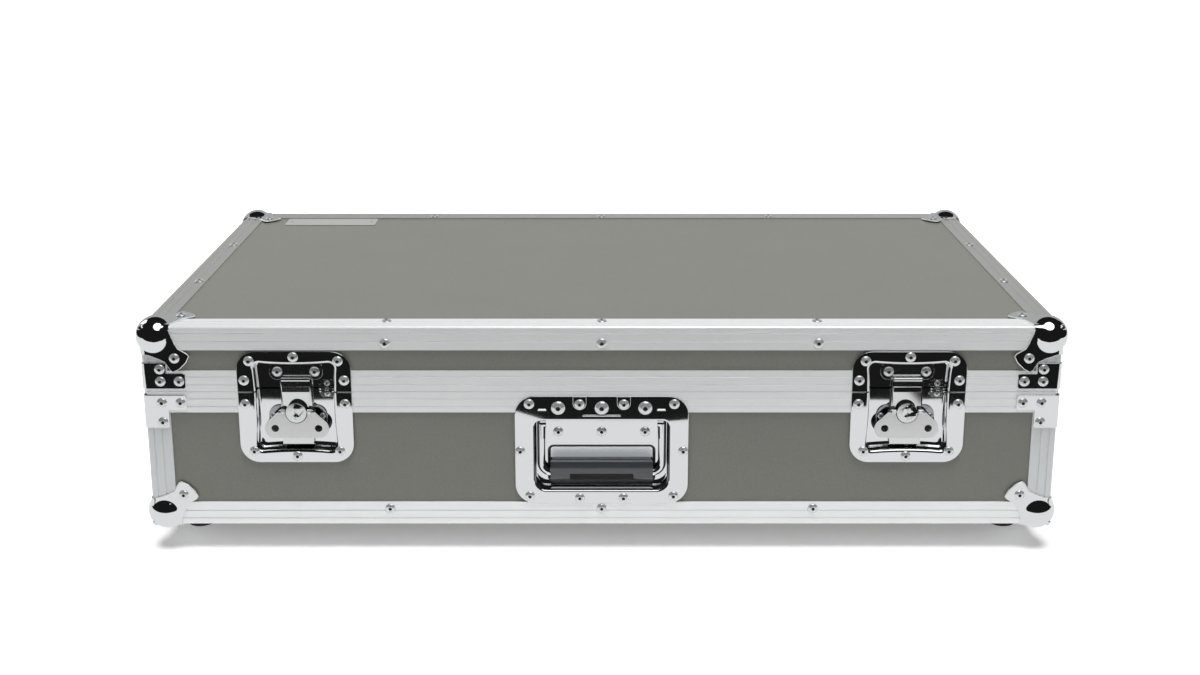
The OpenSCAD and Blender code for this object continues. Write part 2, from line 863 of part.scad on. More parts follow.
module wing_outline() {
    shoulder = [wing_top_half, wing_top];
    t = tangent(shoulder, [wing_half, -wing_low], wing_r);
    polygon([[-wing_top_half, wing_top], [-t[0], t[1]], [-wing_half, -wing_low],
        [-wing_half, -wing_low - wing_r], [wing_half, -wing_low - wing_r], [wing_half, -wing_low],
        t, shoulder]);
    for (x = [-1, 1]) translate([x * wing_half, -wing_low]) circle(wing_r);
}

// Folding wing with its two rolled knuckles
module wing() {
    knuckle_in = boss_r + wing_notch_gap;
    translate([0, -cam_drop, 0]) difference() {
        union() {
            translate([0, 0, -wing_n - wing_t]) linear_extrude(wing_t) difference() {
                wing_outline();
                circle(boss_r + wing_notch_gap);
                for (x = [-1, 1]) translate([x * wing_half, -wing_low]) circle(wing_hole_r);
                translate([-boss_r - wing_notch_gap, 0])
                    square([2 * (boss_r + wing_notch_gap), wing_top + over]);
            }
            for (x = [-1, 1])
                translate([x * (knuckle_in + wing_knuckle_len / 2), wing_pivot_up, -wing_knuckle_n])
                    rotate([0, 90, 0])
                    cylinder(r = wing_knuckle_r, h = wing_knuckle_len, center = true);
        }
        translate([0, wing_pivot_up, -wing_knuckle_n]) rotate([0, 90, 0])
            cylinder(r = wing_pin_r + running_gap, h = 4 * boss_r, center = true);
    }
}

// Sliding claw: plate with a window round the eccentric, side flanges, a step and a rolled tip
module claw() {
    window_half = eccentric_r + eccentric_throw + slot_gap;
    window_h = eccentric_r + claw_window_gap;
    low = -cam_drop - eccentric_throw - claw_low;
    difference() {
        union() {
            translate([-claw_w / 2, low, -claw_n - claw_t])
                cube([claw_w, claw_top - low - claw_tip_r, claw_t]);
            for (x = [-claw_w / 2, claw_w / 2 - claw_t])
                translate([x, low, -claw_flange_n])
                    cube([claw_t, keeper_low - slot_gap - eccentric_throw * 2 - low, claw_flange_n - claw_n]);
            translate([-claw_w / 2 + claw_t, claw_step_low, -claw_n - claw_t / 2])
                cube([claw_w - 2 * claw_t, claw_step_h, claw_t / 2 + claw_step_t]);
            translate([-claw_w / 2 + claw_t, claw_top - claw_tip_r, -claw_n - claw_t + claw_tip_r])
                rotate([0, 90, 0]) cylinder(r = claw_tip_r, h = claw_w - 2 * claw_t, $fn = 32);
        }
        translate([-window_half, -cam_drop - eccentric_throw - window_h, -claw_flange_n - over])
            cube([2 * window_half, 2 * window_h, claw_flange_n]);
    }
}

module keeper() {
    translate([0, 0, -recess_depth]) linear_extrude(keeper_t)
        rounded_span(2 * keeper_half, keeper_low, keeper_high, keeper_r);
    translate([-keeper_lip_half, keeper_low, -recess_depth])
        cube([2 * keeper_lip_half, keeper_t, recess_depth - keeper_lip_n]);
}

module latch_keepers() color("silver") for (side = [-1, 1]) at_latch(side) keeper();

// Padlock lug above the parting: a foot on the dish floor and an outward tab with a hole
module padlock_lug() {
    hole_n = (lug_out_n + recess_depth - lug_t) / 2;
    translate([lug_x, 0, 0]) {
        translate([0, 0, -recess_depth]) linear_extrude(lug_t)
            rounded_span(lug_w, lug_off, lug_reach, lug_r);
        translate([-lug_w / 2 + lug_r, lug_off, -recess_depth])
            cube([lug_w - 2 * lug_r, lug_r, lug_t]);
        difference() {
            union() {
                translate([-lug_w / 2 + lug_tab_r, lug_off, -recess_depth])
                    cube([lug_w - 2 * lug_tab_r, lug_t, recess_depth - lug_out_n]);
                translate([-lug_w / 2, lug_off, -recess_depth + lug_t])
                    cube([lug_w, lug_t, recess_depth - lug_t - lug_out_n - lug_tab_r]);
                for (x = [-1, 1])
                    translate([x * (lug_w / 2 - lug_tab_r), lug_off, -lug_out_n - lug_tab_r])
                        rotate([-90, 0, 0]) cylinder(r = lug_tab_r, h = lug_t);
            }
            translate([0, lug_off - over, -hole_n]) rotate([-90, 0, 0])
                cylinder(r = lug_hole_r, h = lug_t + 2 * over);
        }
    }
}

module lid_padlock_lugs() color("silver") for (side = [-1, 1]) at_latch(side) padlock_lug();
module base_padlock_lugs() color("silver") for (side = [-1, 1])
    at_latch(side) mirror([0, 1, 0]) padlock_lug();

module latch_rivets(lid) {
    for (side = [-1, 1]) at_latch(side) {
        if (lid) {
            translate([0, dish_rivet_top, plate_t]) rivet();
            for (x = [-1, 1]) {
                translate([x * dish_rivet_x, dish_rivet_high, plate_t]) rivet();
                translate([x * dish_rivet_side, dish_rivet_side_z, plate_t]) rivet();
                translate([x * keeper_rivet_x, keeper_rivet_y, -recess_depth + keeper_t]) rivet();
            }
            translate([lug_x, lug_rivet_up, -recess_depth + lug_t])
                rivet(small_rivet_share);
        } else {
            translate([0, -dish_rivet_bottom, plate_t]) rivet();
            for (x = [-1, 1]) {
                translate([x * dish_rivet_low_x, -dish_rivet_low, plate_t]) rivet();
                translate([x * dish_rivet_side, -dish_rivet_side_z, plate_t]) rivet();
                translate([x * plate_rivet_x, -cam_drop - 2 * small_rivet_r, -base_plate_n])
                    rivet(small_rivet_share);
            }
            translate([lug_x, -lug_rivet_up, -recess_depth + lug_t])
                rivet(small_rivet_share);
        }
    }
}

// Handle

// Raised tabs under two rivets of the handle dish, and the ridge between them
module dish_tabs() {
    linear_extrude(plate_t + tab_rise) for (x = [-1, 1]) translate([x * handle_rivet_mid_x, 0]) {
        translate([0, tab_half - tab_low]) circle(tab_half);
        translate([-tab_half, tab_half - tab_low]) square([2 * tab_half, tab_low - tab_half - grip_dish_top]);
    }
    linear_extrude(plate_t + ridge_rise)
        translate([0, -ridge_drop]) rounded(2 * ridge_half, ridge_w, ridge_w / 2 - flat_gap);
}

module handle_dish() {
    color("gainsboro") on_front() difference() {
        union() {
            linear_extrude(plate_t)
                rounded_span(grip_dish_w, -grip_dish_top - grip_dish_h, -grip_dish_top, grip_dish_r);
            dish_tabs();
            translate([0, 0, -shelf_depth - plate_t]) linear_extrude(shelf_depth + plate_t)
                grip_recess_outline(plate_t);
            translate([0, 0, -relief_depth]) linear_extrude(relief_depth) relief_outline(plate_t);
            translate([0, 0, -pocket_depth - plate_t]) linear_extrude(pocket_depth)
                pocket_outline(plate_t);
        }
        translate([0, 0, -shelf_depth]) linear_extrude(shelf_depth + plate_t + over)
            grip_recess_outline();
        translate([0, 0, plate_t - relief_depth]) linear_extrude(relief_depth + over) relief_outline();
        translate([0, 0, -pocket_depth]) linear_extrude(pocket_depth) pocket_outline();
    }
}

// Cover over the pivot of the bail: a plate on the shelf with two bored cheeks
module handle_cover() {
    color("silver") on_front() difference() {
        translate([-cover_half, -cover_bottom, -shelf_depth])
            cube([2 * cover_half, cover_bottom - cover_top, shelf_depth - cover_n]);
        translate([-cover_half + cheek_t, -cover_bottom + plate_t, -shelf_depth - over])
            cube([2 * (cover_half - cheek_t), cover_bottom - cover_top - 2 * plate_t,
                shelf_depth - cover_n - plate_t + over]);
        translate([0, -pivot_drop, -pivot_n]) rotate([0, 90, 0])
            cylinder(r = wire_r + running_gap, h = 4 * cover_half, center = true);
    }
}

module handle_rod() {
    len = 2 * (bail_stub_in - rod_end_gap);
    color("gray") on_front() translate([0, -pivot_drop, -pivot_n]) rotate([0, 90, 0])
        cylinder(r = rod_r, h = len, center = true);
}

module handle_springs() {
    color("darkgray") on_front() for (side = [-1, 1])
        translate([side * spring_x, -pivot_drop, -pivot_n]) rotate([0, 90, 0]) difference() {
            cylinder(r = spring_r, h = spring_len, center = true);
            cylinder(r = rod_r + spring_gap, h = spring_len + over, center = true);
        }
}

// Half of the wire bail: stub in the cheek, leg, bend and half of the bar inside the grip
module half_bail() {
    translate([bail_stub_in, -pivot_drop, 0]) rotate([0, 90, 0])
        cylinder(r = wire_r, h = bail_half - bail_stub_in);
    translate([bail_half, -pivot_drop, 0]) sphere(wire_r);
    translate([bail_half, -bail_low + bend_r, 0]) rotate([-90, 0, 0])
        cylinder(r = wire_r, h = bail_low - bend_r - pivot_drop);
    translate([bail_half - bend_r, -bail_low + bend_r, 0]) rotate([0, 0, -90]) rotate_extrude(angle = 90)
        translate([bend_r, 0]) circle(wire_r);
    translate([0, -bail_low, 0]) rotate([0, 90, 0]) cylinder(r = wire_r, h = bail_half - bend_r);
}

module handle_bail() {
    color("gainsboro") on_front() translate([0, 0, -pivot_n]) {
        half_bail();
        mirror([1, 0, 0]) half_bail();
    }
}

module handle_grip() {
    color("black") on_front() translate([0, 0, -grip_n]) difference() {
        intersection() {
            translate([0, -grip_mid, -grip_t]) linear_extrude(grip_t) rounded(grip_w, grip_h, grip_end_r);
            translate([-grip_w / 2, -grip_mid, -grip_t / 2]) rotate([90, 0, 90]) linear_extrude(grip_w)
                rounded(grip_h, grip_t, grip_edge_r);
            translate([0, grip_crown_up - grip_mid, -grip_crown_r]) rotate([0, 90, 0])
                cylinder(r = grip_crown_r, h = 2 * grip_w, center = true, $fn = 160);
        }
        translate([0, -bail_low, grip_n - pivot_n]) rotate([0, 90, 0])
            cylinder(r = wire_r + running_gap, h = grip_w + over, center = true);
        translate([0, -grip_mid - grip_slot_drop, -grip_slot_depth]) linear_extrude(grip_slot_depth + over)
            rounded(grip_slot_w, grip_slot_h, grip_slot_r);
    }
}

module handle_rivets() {
    on_front() translate([0, 0, plate_t]) {
        for (x = [-1, 1]) {
            translate([x * handle_rivet_x, -handle_rivet_top, 0]) rivet();
            translate([x * handle_rivet_mid_x, -handle_rivet_top, tab_rise]) rivet();
            translate([x * handle_rivet_x, -handle_rivet_low, 0]) rivet();
            translate([x * handle_rivet_mid_x, -handle_rivet_low_mid, 0]) rivet();
            translate([x * handle_rivet_side_x, -handle_rivet_side, 0]) rivet();
        }
        for (x = [-1, 0, 1]) {
            translate([x * cover_rivet_x, -cover_rivet_top, 0]) rivet(cover_rivet_share);
        }
    }
    on_front() translate([0, -cover_rivet_low, -cover_n])
        for (x = [-1, 0, 1]) translate([x * cover_rivet_x, 0, 0]) rivet();
}

// Hinges on the back

module at_hinges() on_back() for (side = [-1, 1]) translate([side * hinge_x, 0, 0]) children();

// Knuckles of one leaf, the odd ones or the even ones
module knuckles(first) {
    len = hinge_w / hinge_knuckles;
    for (i = [first : 2 : hinge_knuckles - 1])
        translate([-hinge_w / 2 + i * len + hinge_knuckle_gap / 2, 0, knuckle_out]) rotate([0, 90, 0])
            cylinder(r = knuckle_r, h = len - hinge_knuckle_gap);
}

// Leaf below the parting, cut free of the other leaf's knuckles
module hinge_leaf(first) {
    len = hinge_w / hinge_knuckles;
    difference() {
        union() {
            difference() {
                translate([-hinge_w / 2, -hinge_plate_h, 0])
                    cube([hinge_w, hinge_plate_h, plate_t]);
                for (i = [1 - first : 2 : hinge_knuckles - 1])
                    translate([-hinge_w / 2 + i * len - hinge_knuckle_gap / 2, -knuckle_r - step_gap, -over])
                        cube([len + hinge_knuckle_gap, knuckle_r + step_gap + over, plate_t + 2 * over]);
            }
            knuckles(first);
        }
        translate([-hinge_w, 0, knuckle_out]) rotate([0, 90, 0])
            cylinder(r = hinge_pin_r + running_gap * (1 - first), h = 2 * hinge_w);
    }
}

module hinge_base_leaves() color("silver") at_hinges() hinge_leaf(0);
module hinge_lid_leaves() color("silver") at_hinges() mirror([0, 1, 0]) hinge_leaf(1);
module hinge_pins() color("gray") at_hinges()
    translate([0, 0, knuckle_out]) rotate([0, 90, 0]) cylinder(r = hinge_pin_r, h = hinge_w, center = true);

module hinge_rivets(up)
    at_hinges() for (x = [-1, 0, 1])
        translate([x * hinge_rivet_x, up * hinge_rivet_z, plate_t]) rivet();

// Foam

module floor_foam() {
    in = wall_foam_in + wall_foam_t + foam_gap;
    color("#333333") in_base() translate([in, in, edge_wall + panel_t + foam_gap])
        cube([case_w - 2 * in, case_d - 2 * in, floor_foam_t]);
}

module wall_foam() {
    in = wall_foam_in + wall_foam_t;
    z = edge_wall + panel_t + edge_wall + foam_gap;
    h = base_h - z - wall_foam_top;
    r = plate_t + foam_relief_gap;
    color("#333333") difference() {
        in_base() translate([wall_foam_in, wall_foam_in, z])
            cube([case_w - 2 * wall_foam_in, case_d - 2 * wall_foam_in, h]);
        in_base() translate([in, in, -over])
            cube([case_w - 2 * in, case_d - 2 * in, base_h]);
        on_front() translate([0, 0, -pocket_depth - r]) linear_extrude(pocket_depth) {
            grip_recess_outline(r);
            relief_outline(r);
        }
    }
}

module lid_foam() {
    color("#333333") in_lid() translate([lid_foam_in, lid_foam_in, edge_wall + panel_t + foam_gap])
        cube([case_w - 2 * lid_foam_in, case_d - 2 * lid_foam_in, lid_foam_t]);
}

// Rivets of each half

module base_hardware_rivets() {
    latch_rivets(false);
    handle_rivets();
    hinge_rivets(-1);
    in_base() leaf_rivets();
    in_base() all_brace_rivets(base_h, brace_leg);
}

module lid_hardware_rivets() {
    latch_rivets(true);
    hinge_rivets(1);
    in_lid() leaf_rivets();
    in_lid() all_brace_rivets(lid_rise, lid_brace_leg);
}

// Nodes

floor_panel();
base_front_panel();
base_back_panel();
base_side_panels();
in_base() front_edge();  // base_front_edge
in_base() back_edge();  // base_back_edge
in_base() side_edges();  // base_side_edges
in_base() corner_posts(base_h);  // base_corner_posts
base_front_closure();
base_back_closure();
base_side_closures();
in_base() ball_corners();  // base_ball_corners
in_base() braces(base_h, brace_leg);  // base_corner_braces
rubber_feet();
foot_screws();
base_dish(-1);  // left_base_dish
base_dish(1);  // right_base_dish
latch_base_plates();
base_padlock_lugs();
handle_dish();
handle_cover();
handle_rod();
handle_springs();
floor_foam();
wall_foam();
hinge_base_leaves();
hinge_pins();
in_base() half_edge_rivets();  // base_edge_rivets
base_hardware_rivets();
lid_top_panel();
lid_front_panel();
lid_back_panel();
lid_side_panels();
in_lid() front_edge();  // lid_front_edge
in_lid() back_edge();  // lid_back_edge
in_lid() side_edges();  // lid_side_edges
in_lid() corner_posts(lid_rise);  // lid_corner_posts
lid_front_closure();
lid_back_closure();
lid_side_closures();
in_lid() ball_corners();  // lid_ball_corners
in_lid() braces(lid_rise, lid_brace_leg);  // lid_corner_braces
lid_dish(-1);  // left_lid_dish
lid_dish(1);  // right_lid_dish
latch_keepers();
lid_padlock_lugs();
hinge_lid_leaves();
lid_foam();
in_lid() half_edge_rivets();  // lid_edge_rivets
lid_hardware_rivets();
color("gainsboro") at_latch(-1) cam();  // left_cam
color("gainsboro") at_latch(1) cam();  // right_cam
color("gainsboro") at_latch(-1) wing();  // left_wing
color("gainsboro") at_latch(1) wing();  // right_wing
color("silver") at_latch(-1) claw();  // left_claw
color("silver") at_latch(1) claw();  // right_claw
handle_bail();
handle_grip();
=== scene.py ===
"""Looks of a guitar pedal flight case: pressed hardware, rivets, laminate, foam and a studio."""

import json
import math

import bmesh
import bpy
from bpy.props import FloatProperty, FloatVectorProperty, PointerProperty
from mathutils import Matrix, Vector
from mathutils.geometry import tessellate_polygon


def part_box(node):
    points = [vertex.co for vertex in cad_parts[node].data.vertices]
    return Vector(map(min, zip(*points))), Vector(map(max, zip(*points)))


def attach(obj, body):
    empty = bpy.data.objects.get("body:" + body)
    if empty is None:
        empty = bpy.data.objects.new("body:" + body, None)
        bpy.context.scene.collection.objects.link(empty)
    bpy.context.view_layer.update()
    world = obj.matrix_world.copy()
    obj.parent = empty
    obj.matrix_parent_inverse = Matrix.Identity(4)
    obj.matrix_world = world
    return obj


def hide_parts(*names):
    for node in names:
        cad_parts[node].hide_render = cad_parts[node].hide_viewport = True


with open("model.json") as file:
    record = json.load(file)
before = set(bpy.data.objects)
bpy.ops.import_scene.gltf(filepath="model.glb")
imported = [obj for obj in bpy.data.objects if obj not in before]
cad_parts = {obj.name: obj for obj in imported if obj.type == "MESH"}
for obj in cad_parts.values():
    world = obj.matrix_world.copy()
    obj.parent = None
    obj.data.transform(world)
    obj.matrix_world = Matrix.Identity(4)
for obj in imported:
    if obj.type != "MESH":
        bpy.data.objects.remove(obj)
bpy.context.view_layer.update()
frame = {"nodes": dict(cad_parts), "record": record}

bl_info = {
    "name": "Pedal flight case",
    "version": (1, 0, 0),
    "blender": (4, 5, 0),
    "location": "View3D > Sidebar > Flight case",
    "description": "Dresses the CAD frame of a guitar pedal flight case and lights it",
    "category": "Object",
}

MM = 0.001
SHARP = math.radians(35)
BODY_OF = {node: body for body, nodes in frame["record"]["behaviour"]["bodies"].items()
           for node in nodes}
SLOT_OF = {row["node"]: row["material_slot"] for row in frame["record"]["subparts"]}


def length(name, value, description):
    """A length property of a settings group."""
    return FloatProperty(name=name, description=description, default=value, min=0.0, unit="LENGTH",
                         precision=5)


def colour(name, value, painted):
    """A colour property of a settings group, described by what it is on."""
    return FloatVectorProperty(name=name, description="Colour of the " + painted, default=value,
                               min=0.0, max=1.0, size=3, subtype="COLOR")


def factor(name, value, description, high=1.0):
    """A plain number property of a settings group."""
    return FloatProperty(name=name, description=description, default=value, min=0.0, max=high)


def degrees(name, value, description):
    """An angle property of a settings group."""
    return FloatProperty(name=name, description=description, default=math.radians(value),
                         subtype="ANGLE")


class FlightcaseCase(bpy.types.PropertyGroup):
    """Sizes of the case that the dressed pieces line up with."""

    front: length("Front", 0.230, "Distance of the front face from the middle")
    side: length("Side", 0.440, "Distance of the side faces from the middle")
    parting: length("Parting", 0.165, "Height of the parting above the floor")
    parting_gap: length("Parting gap", 0.0015, "Gap between the two parts of a latch dish")
    plate: length("Plate", 0.0012, "Thickness of the pressed steel plates")
    # The chamfer is real; its brightness is a painted highlight
    plate_edge: length("Plate edge", 0.00075, "Width of the bright chamfer round the corner plates")
    foam_edge: length("Foam edge", 0.0025, "Width of the rounded edges of the foam pads")
    badge_x: length("Badge inset", 0.055, "Distance of the badge plate from the left side")
    badge_y: length("Badge place", 0.1885, "Distance of the badge's centre behind the middle")
    badge_width: length("Badge width", 0.110, "Width of the badge plate")
    badge_depth: length("Badge depth", 0.032, "Depth of the badge plate")


class FlightcaseLatch(bpy.types.PropertyGroup):
    """Sizes of the two recessed latches."""

    across: length("Distance", 0.295, "Distance of each latch from the middle")
    width: length("Dish width", 0.110, "Width of a latch dish")
    up: length("Dish top", 0.041, "Height of the dish above the parting")
    down: length("Dish bottom", 0.072, "Reach of the dish below the parting")
    corner: length("Dish corner", 0.019, "Corner radius of a dish")
    recess: length("Recess width", 0.0746, "Width of the recess between its corners")
    recess_up: length("Recess top", 0.0276, "Height of the recess above the parting")
    recess_down: length("Recess bottom", 0.0586, "Reach of the recess below the parting")
    bow: length("Recess bow", 0.0016, "How far the sides of the recess bow in between its corners")
    recess_corner: length("Recess corner", 0.006, "Corner radius of the recess")
    depth: length("Recess depth", 0.011, "Depth of the recess behind the face")
    roll: length("Rolled edge", 0.0026, "Radius of the pressed edge of the recess")


class FlightcaseHandle(bpy.types.PropertyGroup):
    """Sizes of the recessed handle."""

    width: length("Dish width", 0.168, "Width of the handle dish")
    top: length("Dish top", 0.0042, "Distance of the dish below the parting")
    height: length("Dish height", 0.111, "Height of the dish")
    corner: length("Dish corner", 0.020, "Corner radius of the dish")
    recess: length("Recess width", 0.130, "Width of the recess")
    recess_top: length("Recess top", 0.0295, "Distance of the recess below the parting")
    recess_height: length("Recess height", 0.072, "Height of the recess")
    recess_corner: length("Recess corner", 0.012, "Corner radius of the recess")
    shelf: length("Shelf depth", 0.0135, "Depth of the shelf behind the face")
    pocket: length("Pocket width", 0.0998, "Width of the pocket behind the grip")
    pocket_top: length("Pocket top", 0.0626, "Distance of the pocket below the parting")
    pocket_height: length("Pocket height", 0.0337, "Height of the pocket")
    pocket_corner: length("Pocket corner", 0.003, "Corner radius of the pocket")
    pocket_depth: length("Pocket depth", 0.0185, "Depth of the pocket behind the face")
    lip: length("Pocket edge", 0.003, "Width of the rounded edge of the pocket")
    lip_depth: length("Pocket edge depth", 0.002, "Depth of the rounded edge of the pocket")
    roll: length("Rolled edge", 0.0018, "Radius of the pressed edge of the recess")
    tab_x: length("Tab place", 0.0213, "Distance of the tabs from the middle")
    tab: length("Tab half width", 0.0065, "Half the width of a tab")
    tab_low: length("Tab bottom", 0.0178, "Reach of the tabs below the parting")
    ridge: length("Ridge half width", 0.0185, "Half the width of the ridge below the tabs")
    ridge_low: length("Ridge place", 0.0239, "Distance of the ridge below the parting")
    bump_x: length("Bump place", 0.0575, "Distance of the bumps over the bail's legs from the middle")
    bump: length("Bump width", 0.0084, "Width of a bump")
    bump_low: length("Bump drop", 0.019, "Distance of the bumps below the parting")
    bump_tilt: degrees("Bump tilt", 25, "Angle between the bumps and the dish")


class FlightcaseFinish(bpy.types.PropertyGroup):
    """Colours of the materials."""

    laminate: colour("Laminate", (0.180, 0.184, 0.160), "laminated boards")
    # The extrusions are one aluminium; the post and side colours are darker copies of it, painted shade
    aluminium: colour("Aluminium", (0.96, 0.975, 0.98), "extrusions")
    post_aluminium: colour("Post aluminium", (0.69, 0.71, 0.715), "corner posts")
    side_aluminium: colour("Side aluminium", (0.74, 0.75, 0.725), "side extrusions")
    chrome: colour("Chrome", (0.86, 0.87, 0.88), "plated steel")
    nickel: colour("Nickel", (0.80, 0.81, 0.81), "latch steel")
    rivet: colour("Rivets", (0.80, 0.81, 0.82), "rivets")
    wing: colour("Wing", (0.90, 0.91, 0.90), "satin wings")
    # Painted shade and painted dark reflections: the dark steel goes on the edges and backs of the
    # wings and cams, the sides of the handle's cover and bail, and the handle's pocket edge and side
    # walls
    dark: colour("Dark steel", (0.09, 0.095, 0.10), "edges and backs of the latch steel")
    # The pocket colour also gives the pocket its painted glow
    pocket: colour("Pocket", (0.80, 0.83, 0.85), "satin pocket behind the grip")
    plate: colour("Mechanism plate", (0.42, 0.44, 0.46), "plates under the mechanism")
    badge: colour("Badge", (0.52, 0.525, 0.50), "bare badge plate")
    grip: colour("Grip", (0.042, 0.046, 0.052), "moulded grip")
    # The rubber colour also paints shade in the rivets' dimples and the grip's slot
    rubber: colour("Rubber", (0.012, 0.012, 0.013), "feet")
    foam: colour("Foam", (0.020, 0.020, 0.022), "foam pads")


class FlightcaseStudio(bpy.types.PropertyGroup):
    """Camera and light."""

    camera_height: length("Camera height", 0.66459, "Height of the camera above the floor")
    camera_distance: length("Camera distance", 1.57382, "Distance of the camera in front of the middle")
    camera_tilt: degrees("Camera tilt", 13.68, "Angle of the view below the horizon")
    lens: FloatProperty(name="Lens", description="Focal length in millimetres", default=44.448,
                        subtype="DISTANCE_CAMERA", unit="CAMERA")
    sun_power: factor("Top light", 3.9, "Strength of the wide soft light above", 20.0)
    sun_tilt: degrees("Top light tilt", 7, "Angle of the top light towards the front")
    sun_spread: degrees("Top light spread", 35, "Angle that the top light is spread over")
    front_power: FloatProperty(name="Front light", description="Power of the fill light", default=1.2,
                               min=0.0, unit="POWER")
    mirror_grey: factor("Reflected room", 0.01, "Brightness of the room in reflections", 4.0)
    floor_grey: factor("Floor", 0.88, "Grey of the floor")
    floor_lift: factor("Floor lift", 0.24, "Light of the floor itself, which thins its shadow")
    ambient: factor("Ambient", 0.12, "Brightness of the room for soft light", 4.0)


# Geometry helpers

# Distances within which points are one, in a built shape and in a CAD node, and the least edge
MERGE = 1e-6
CAD_MERGE = 2e-6
TINY = 1e-7


def fillet(corners, step=9.0):
    """Loop through corners given as (x, y, radius), with a point every step degrees of an arc."""
    points = []
    for i, (x, y, r) in enumerate(corners):
        here = Vector((x, y))
        before = (Vector(corners[i - 1][:2]) - here).normalized()
        after = (Vector(corners[(i + 1) % len(corners)][:2]) - here).normalized()
        half = before.angle(after) / 2
        centre = here + (before + after).normalized() * (r / math.sin(half))
        start = here + before * (r / math.tan(half)) - centre
        end = here + after * (r / math.tan(half)) - centre
        first = math.atan2(start.y, start.x)
        turn = (math.atan2(end.y, end.x) - first + math.pi) % math.tau - math.pi
        count = max(3, round(math.degrees(abs(turn)) / step))
        for j in range(count + 1):
            angle = first + turn * j / count
            points.append(centre + r * Vector((math.cos(angle), math.sin(angle))))
    return points


def rectangle(width, low, high, radius, upper=None):
    """Rectangle about x = 0 with rounded corners; upper is the radius of the top ones if another."""
    half, upper = width / 2, upper or radius
    return fillet([(-half, low, radius), (half, low, radius),
                   (half, high, upper), (-half, high, upper)])


def bowed(width, low, high, radius, bow, count=16):
    """Rounded rectangle about x = 0 whose four sides bow inwards between its corners."""
    corners = rectangle(width, low, high, radius)
    side = len(corners) // 4
    points = []
    for i in range(4):
        arc = corners[i * side:(i + 1) * side]
        start, end = arc[-1], corners[((i + 1) * side) % len(corners)]
        inwards = Vector((start.y - end.y, end.x - start.x)).normalized()
        points += arc
        for j in range(1, count):
            share = j / count
            points.append(start.lerp(end, share) + inwards * (bow * 4 * share * (1 - share)))
    return points


def circle(x, y, r, count=40):
    """Circle of points about x, y."""
    return [Vector((x + r * math.cos(math.tau * i / count), y + r * math.sin(math.tau * i / count)))
            for i in range(count)]


def shifted(loop, inset, least=0.2):
    """The loop moved to its left, inwards if it runs anticlockwise; least tames sharp corners."""
    out = []
    for i, p in enumerate(loop):
        a = (p - loop[i - 1]).normalized()
        b = (loop[(i + 1) % len(loop)] - p).normalized()
        left = Vector((-a.y - b.y, a.x + b.x))
        out.append(p + left * (inset / max(1 + a.dot(b), least)))
    return out


class Shape:
    """Points and faces of a mesh, in a flat frame with z outwards."""

    def __init__(self):
        self.points = []
        self.faces = []

    def ring(self, loop, z):
        """Adds a loop of points at height z and returns their numbers."""
        first = len(self.points)
        self.points += [Vector((p.x, p.y, z)) for p in loop]
        return list(range(first, first + len(loop)))

    def skin(self, rings):
        """Joins each ring to the next, of equal count; returns the first and the last."""
        for a, b in zip(rings, rings[1:]):
            n = len(a)
            self.faces += [(a[i], a[(i + 1) % n], b[(i + 1) % n], b[i]) for i in range(n)]
        return rings[0], rings[-1]

    def cap(self, *rings):
        """Fills the first ring, less the others."""
        flat = [i for ring in rings for i in ring]
        loops = [[self.points[i] for i in ring] for ring in rings]
        self.faces += [tuple(flat[i] for i in triangle) for triangle in tessellate_polygon(loops)]

    def sweep(self, loop, profile):
        """Rings at each (inset, z) of the profile, joined; returns the first and the last."""
        return self.skin([self.ring(shifted(loop, inset) if inset else loop, z)
                          for inset, z in profile])

    def move(self, matrix):
        """Moves every point."""
        self.points = [matrix @ p for p in self.points]
        return self

    def add(self, other, matrix):
        """Takes in another shape, moved by matrix."""
        first = len(self.points)
        self.points += [matrix @ p for p in other.points]
        self.faces += [tuple(i + first for i in face) for face in other.faces]
        return self


def quarter_turn(steps):
    """Angles from zero to a right angle."""
    return [math.pi / 2 * i / steps for i in range(steps + 1)]


def rounded_edge(radius, z, steps=3, lead=0.0003):
    """Profile of a convex edge: a short flat at z, then over the edge and down by the radius."""
    return [(radius + lead, z)] + [(radius * (1 - math.sin(a)), z - radius * (1 - math.cos(a)))
                                   for a in quarter_turn(steps)]


def plate_shape(outline, top, thickness, bevel):
    """Flat plate with rounded edges."""
    shape = Shape()
    front = rounded_edge(bevel, top)
    back = [(inset, 2 * top - thickness - z) for inset, z in reversed(front)]
    for ring in shape.sweep(outline, front + back):
        shape.cap(ring)
    return shape


def lathe(profile, count=28):
    """Turned shape about z from (radius, z) pairs, closed at both ends."""
    shape = Shape()
    for ring in shape.skin([shape.ring(circle(0, 0, r, count), z) for r, z in profile]):
        shape.cap(ring)
    return shape


def placed(name, data):
    """New object at the origin, in the scene's collection."""
    made = bpy.data.objects.new(name, data)
    bpy.context.collection.objects.link(made)
    return made


def baked(holder):
    """Plain mesh of an object with its modifiers; the object is removed."""
    graph = bpy.context.evaluated_depsgraph_get()
    mesh = bpy.data.meshes.new_from_object(holder.evaluated_get(graph), depsgraph=graph)
    bpy.data.objects.remove(holder)
    return mesh


def modified(mesh, kind, **settings):
    """Plain mesh of a mesh with one modifier."""
    holder = placed("holder", mesh)
    modifier = holder.modifiers.new("Work", kind)
    for key, value in settings.items():
        setattr(modifier, key, value)
    return baked(holder)


def softened(mesh, width, segments=2):
    """The mesh with rounded bevels on its sharp edges."""
    return modified(mesh, "BEVEL", width=width, segments=segments, limit_method="ANGLE",
                    angle_limit=SHARP, harden_normals=True)


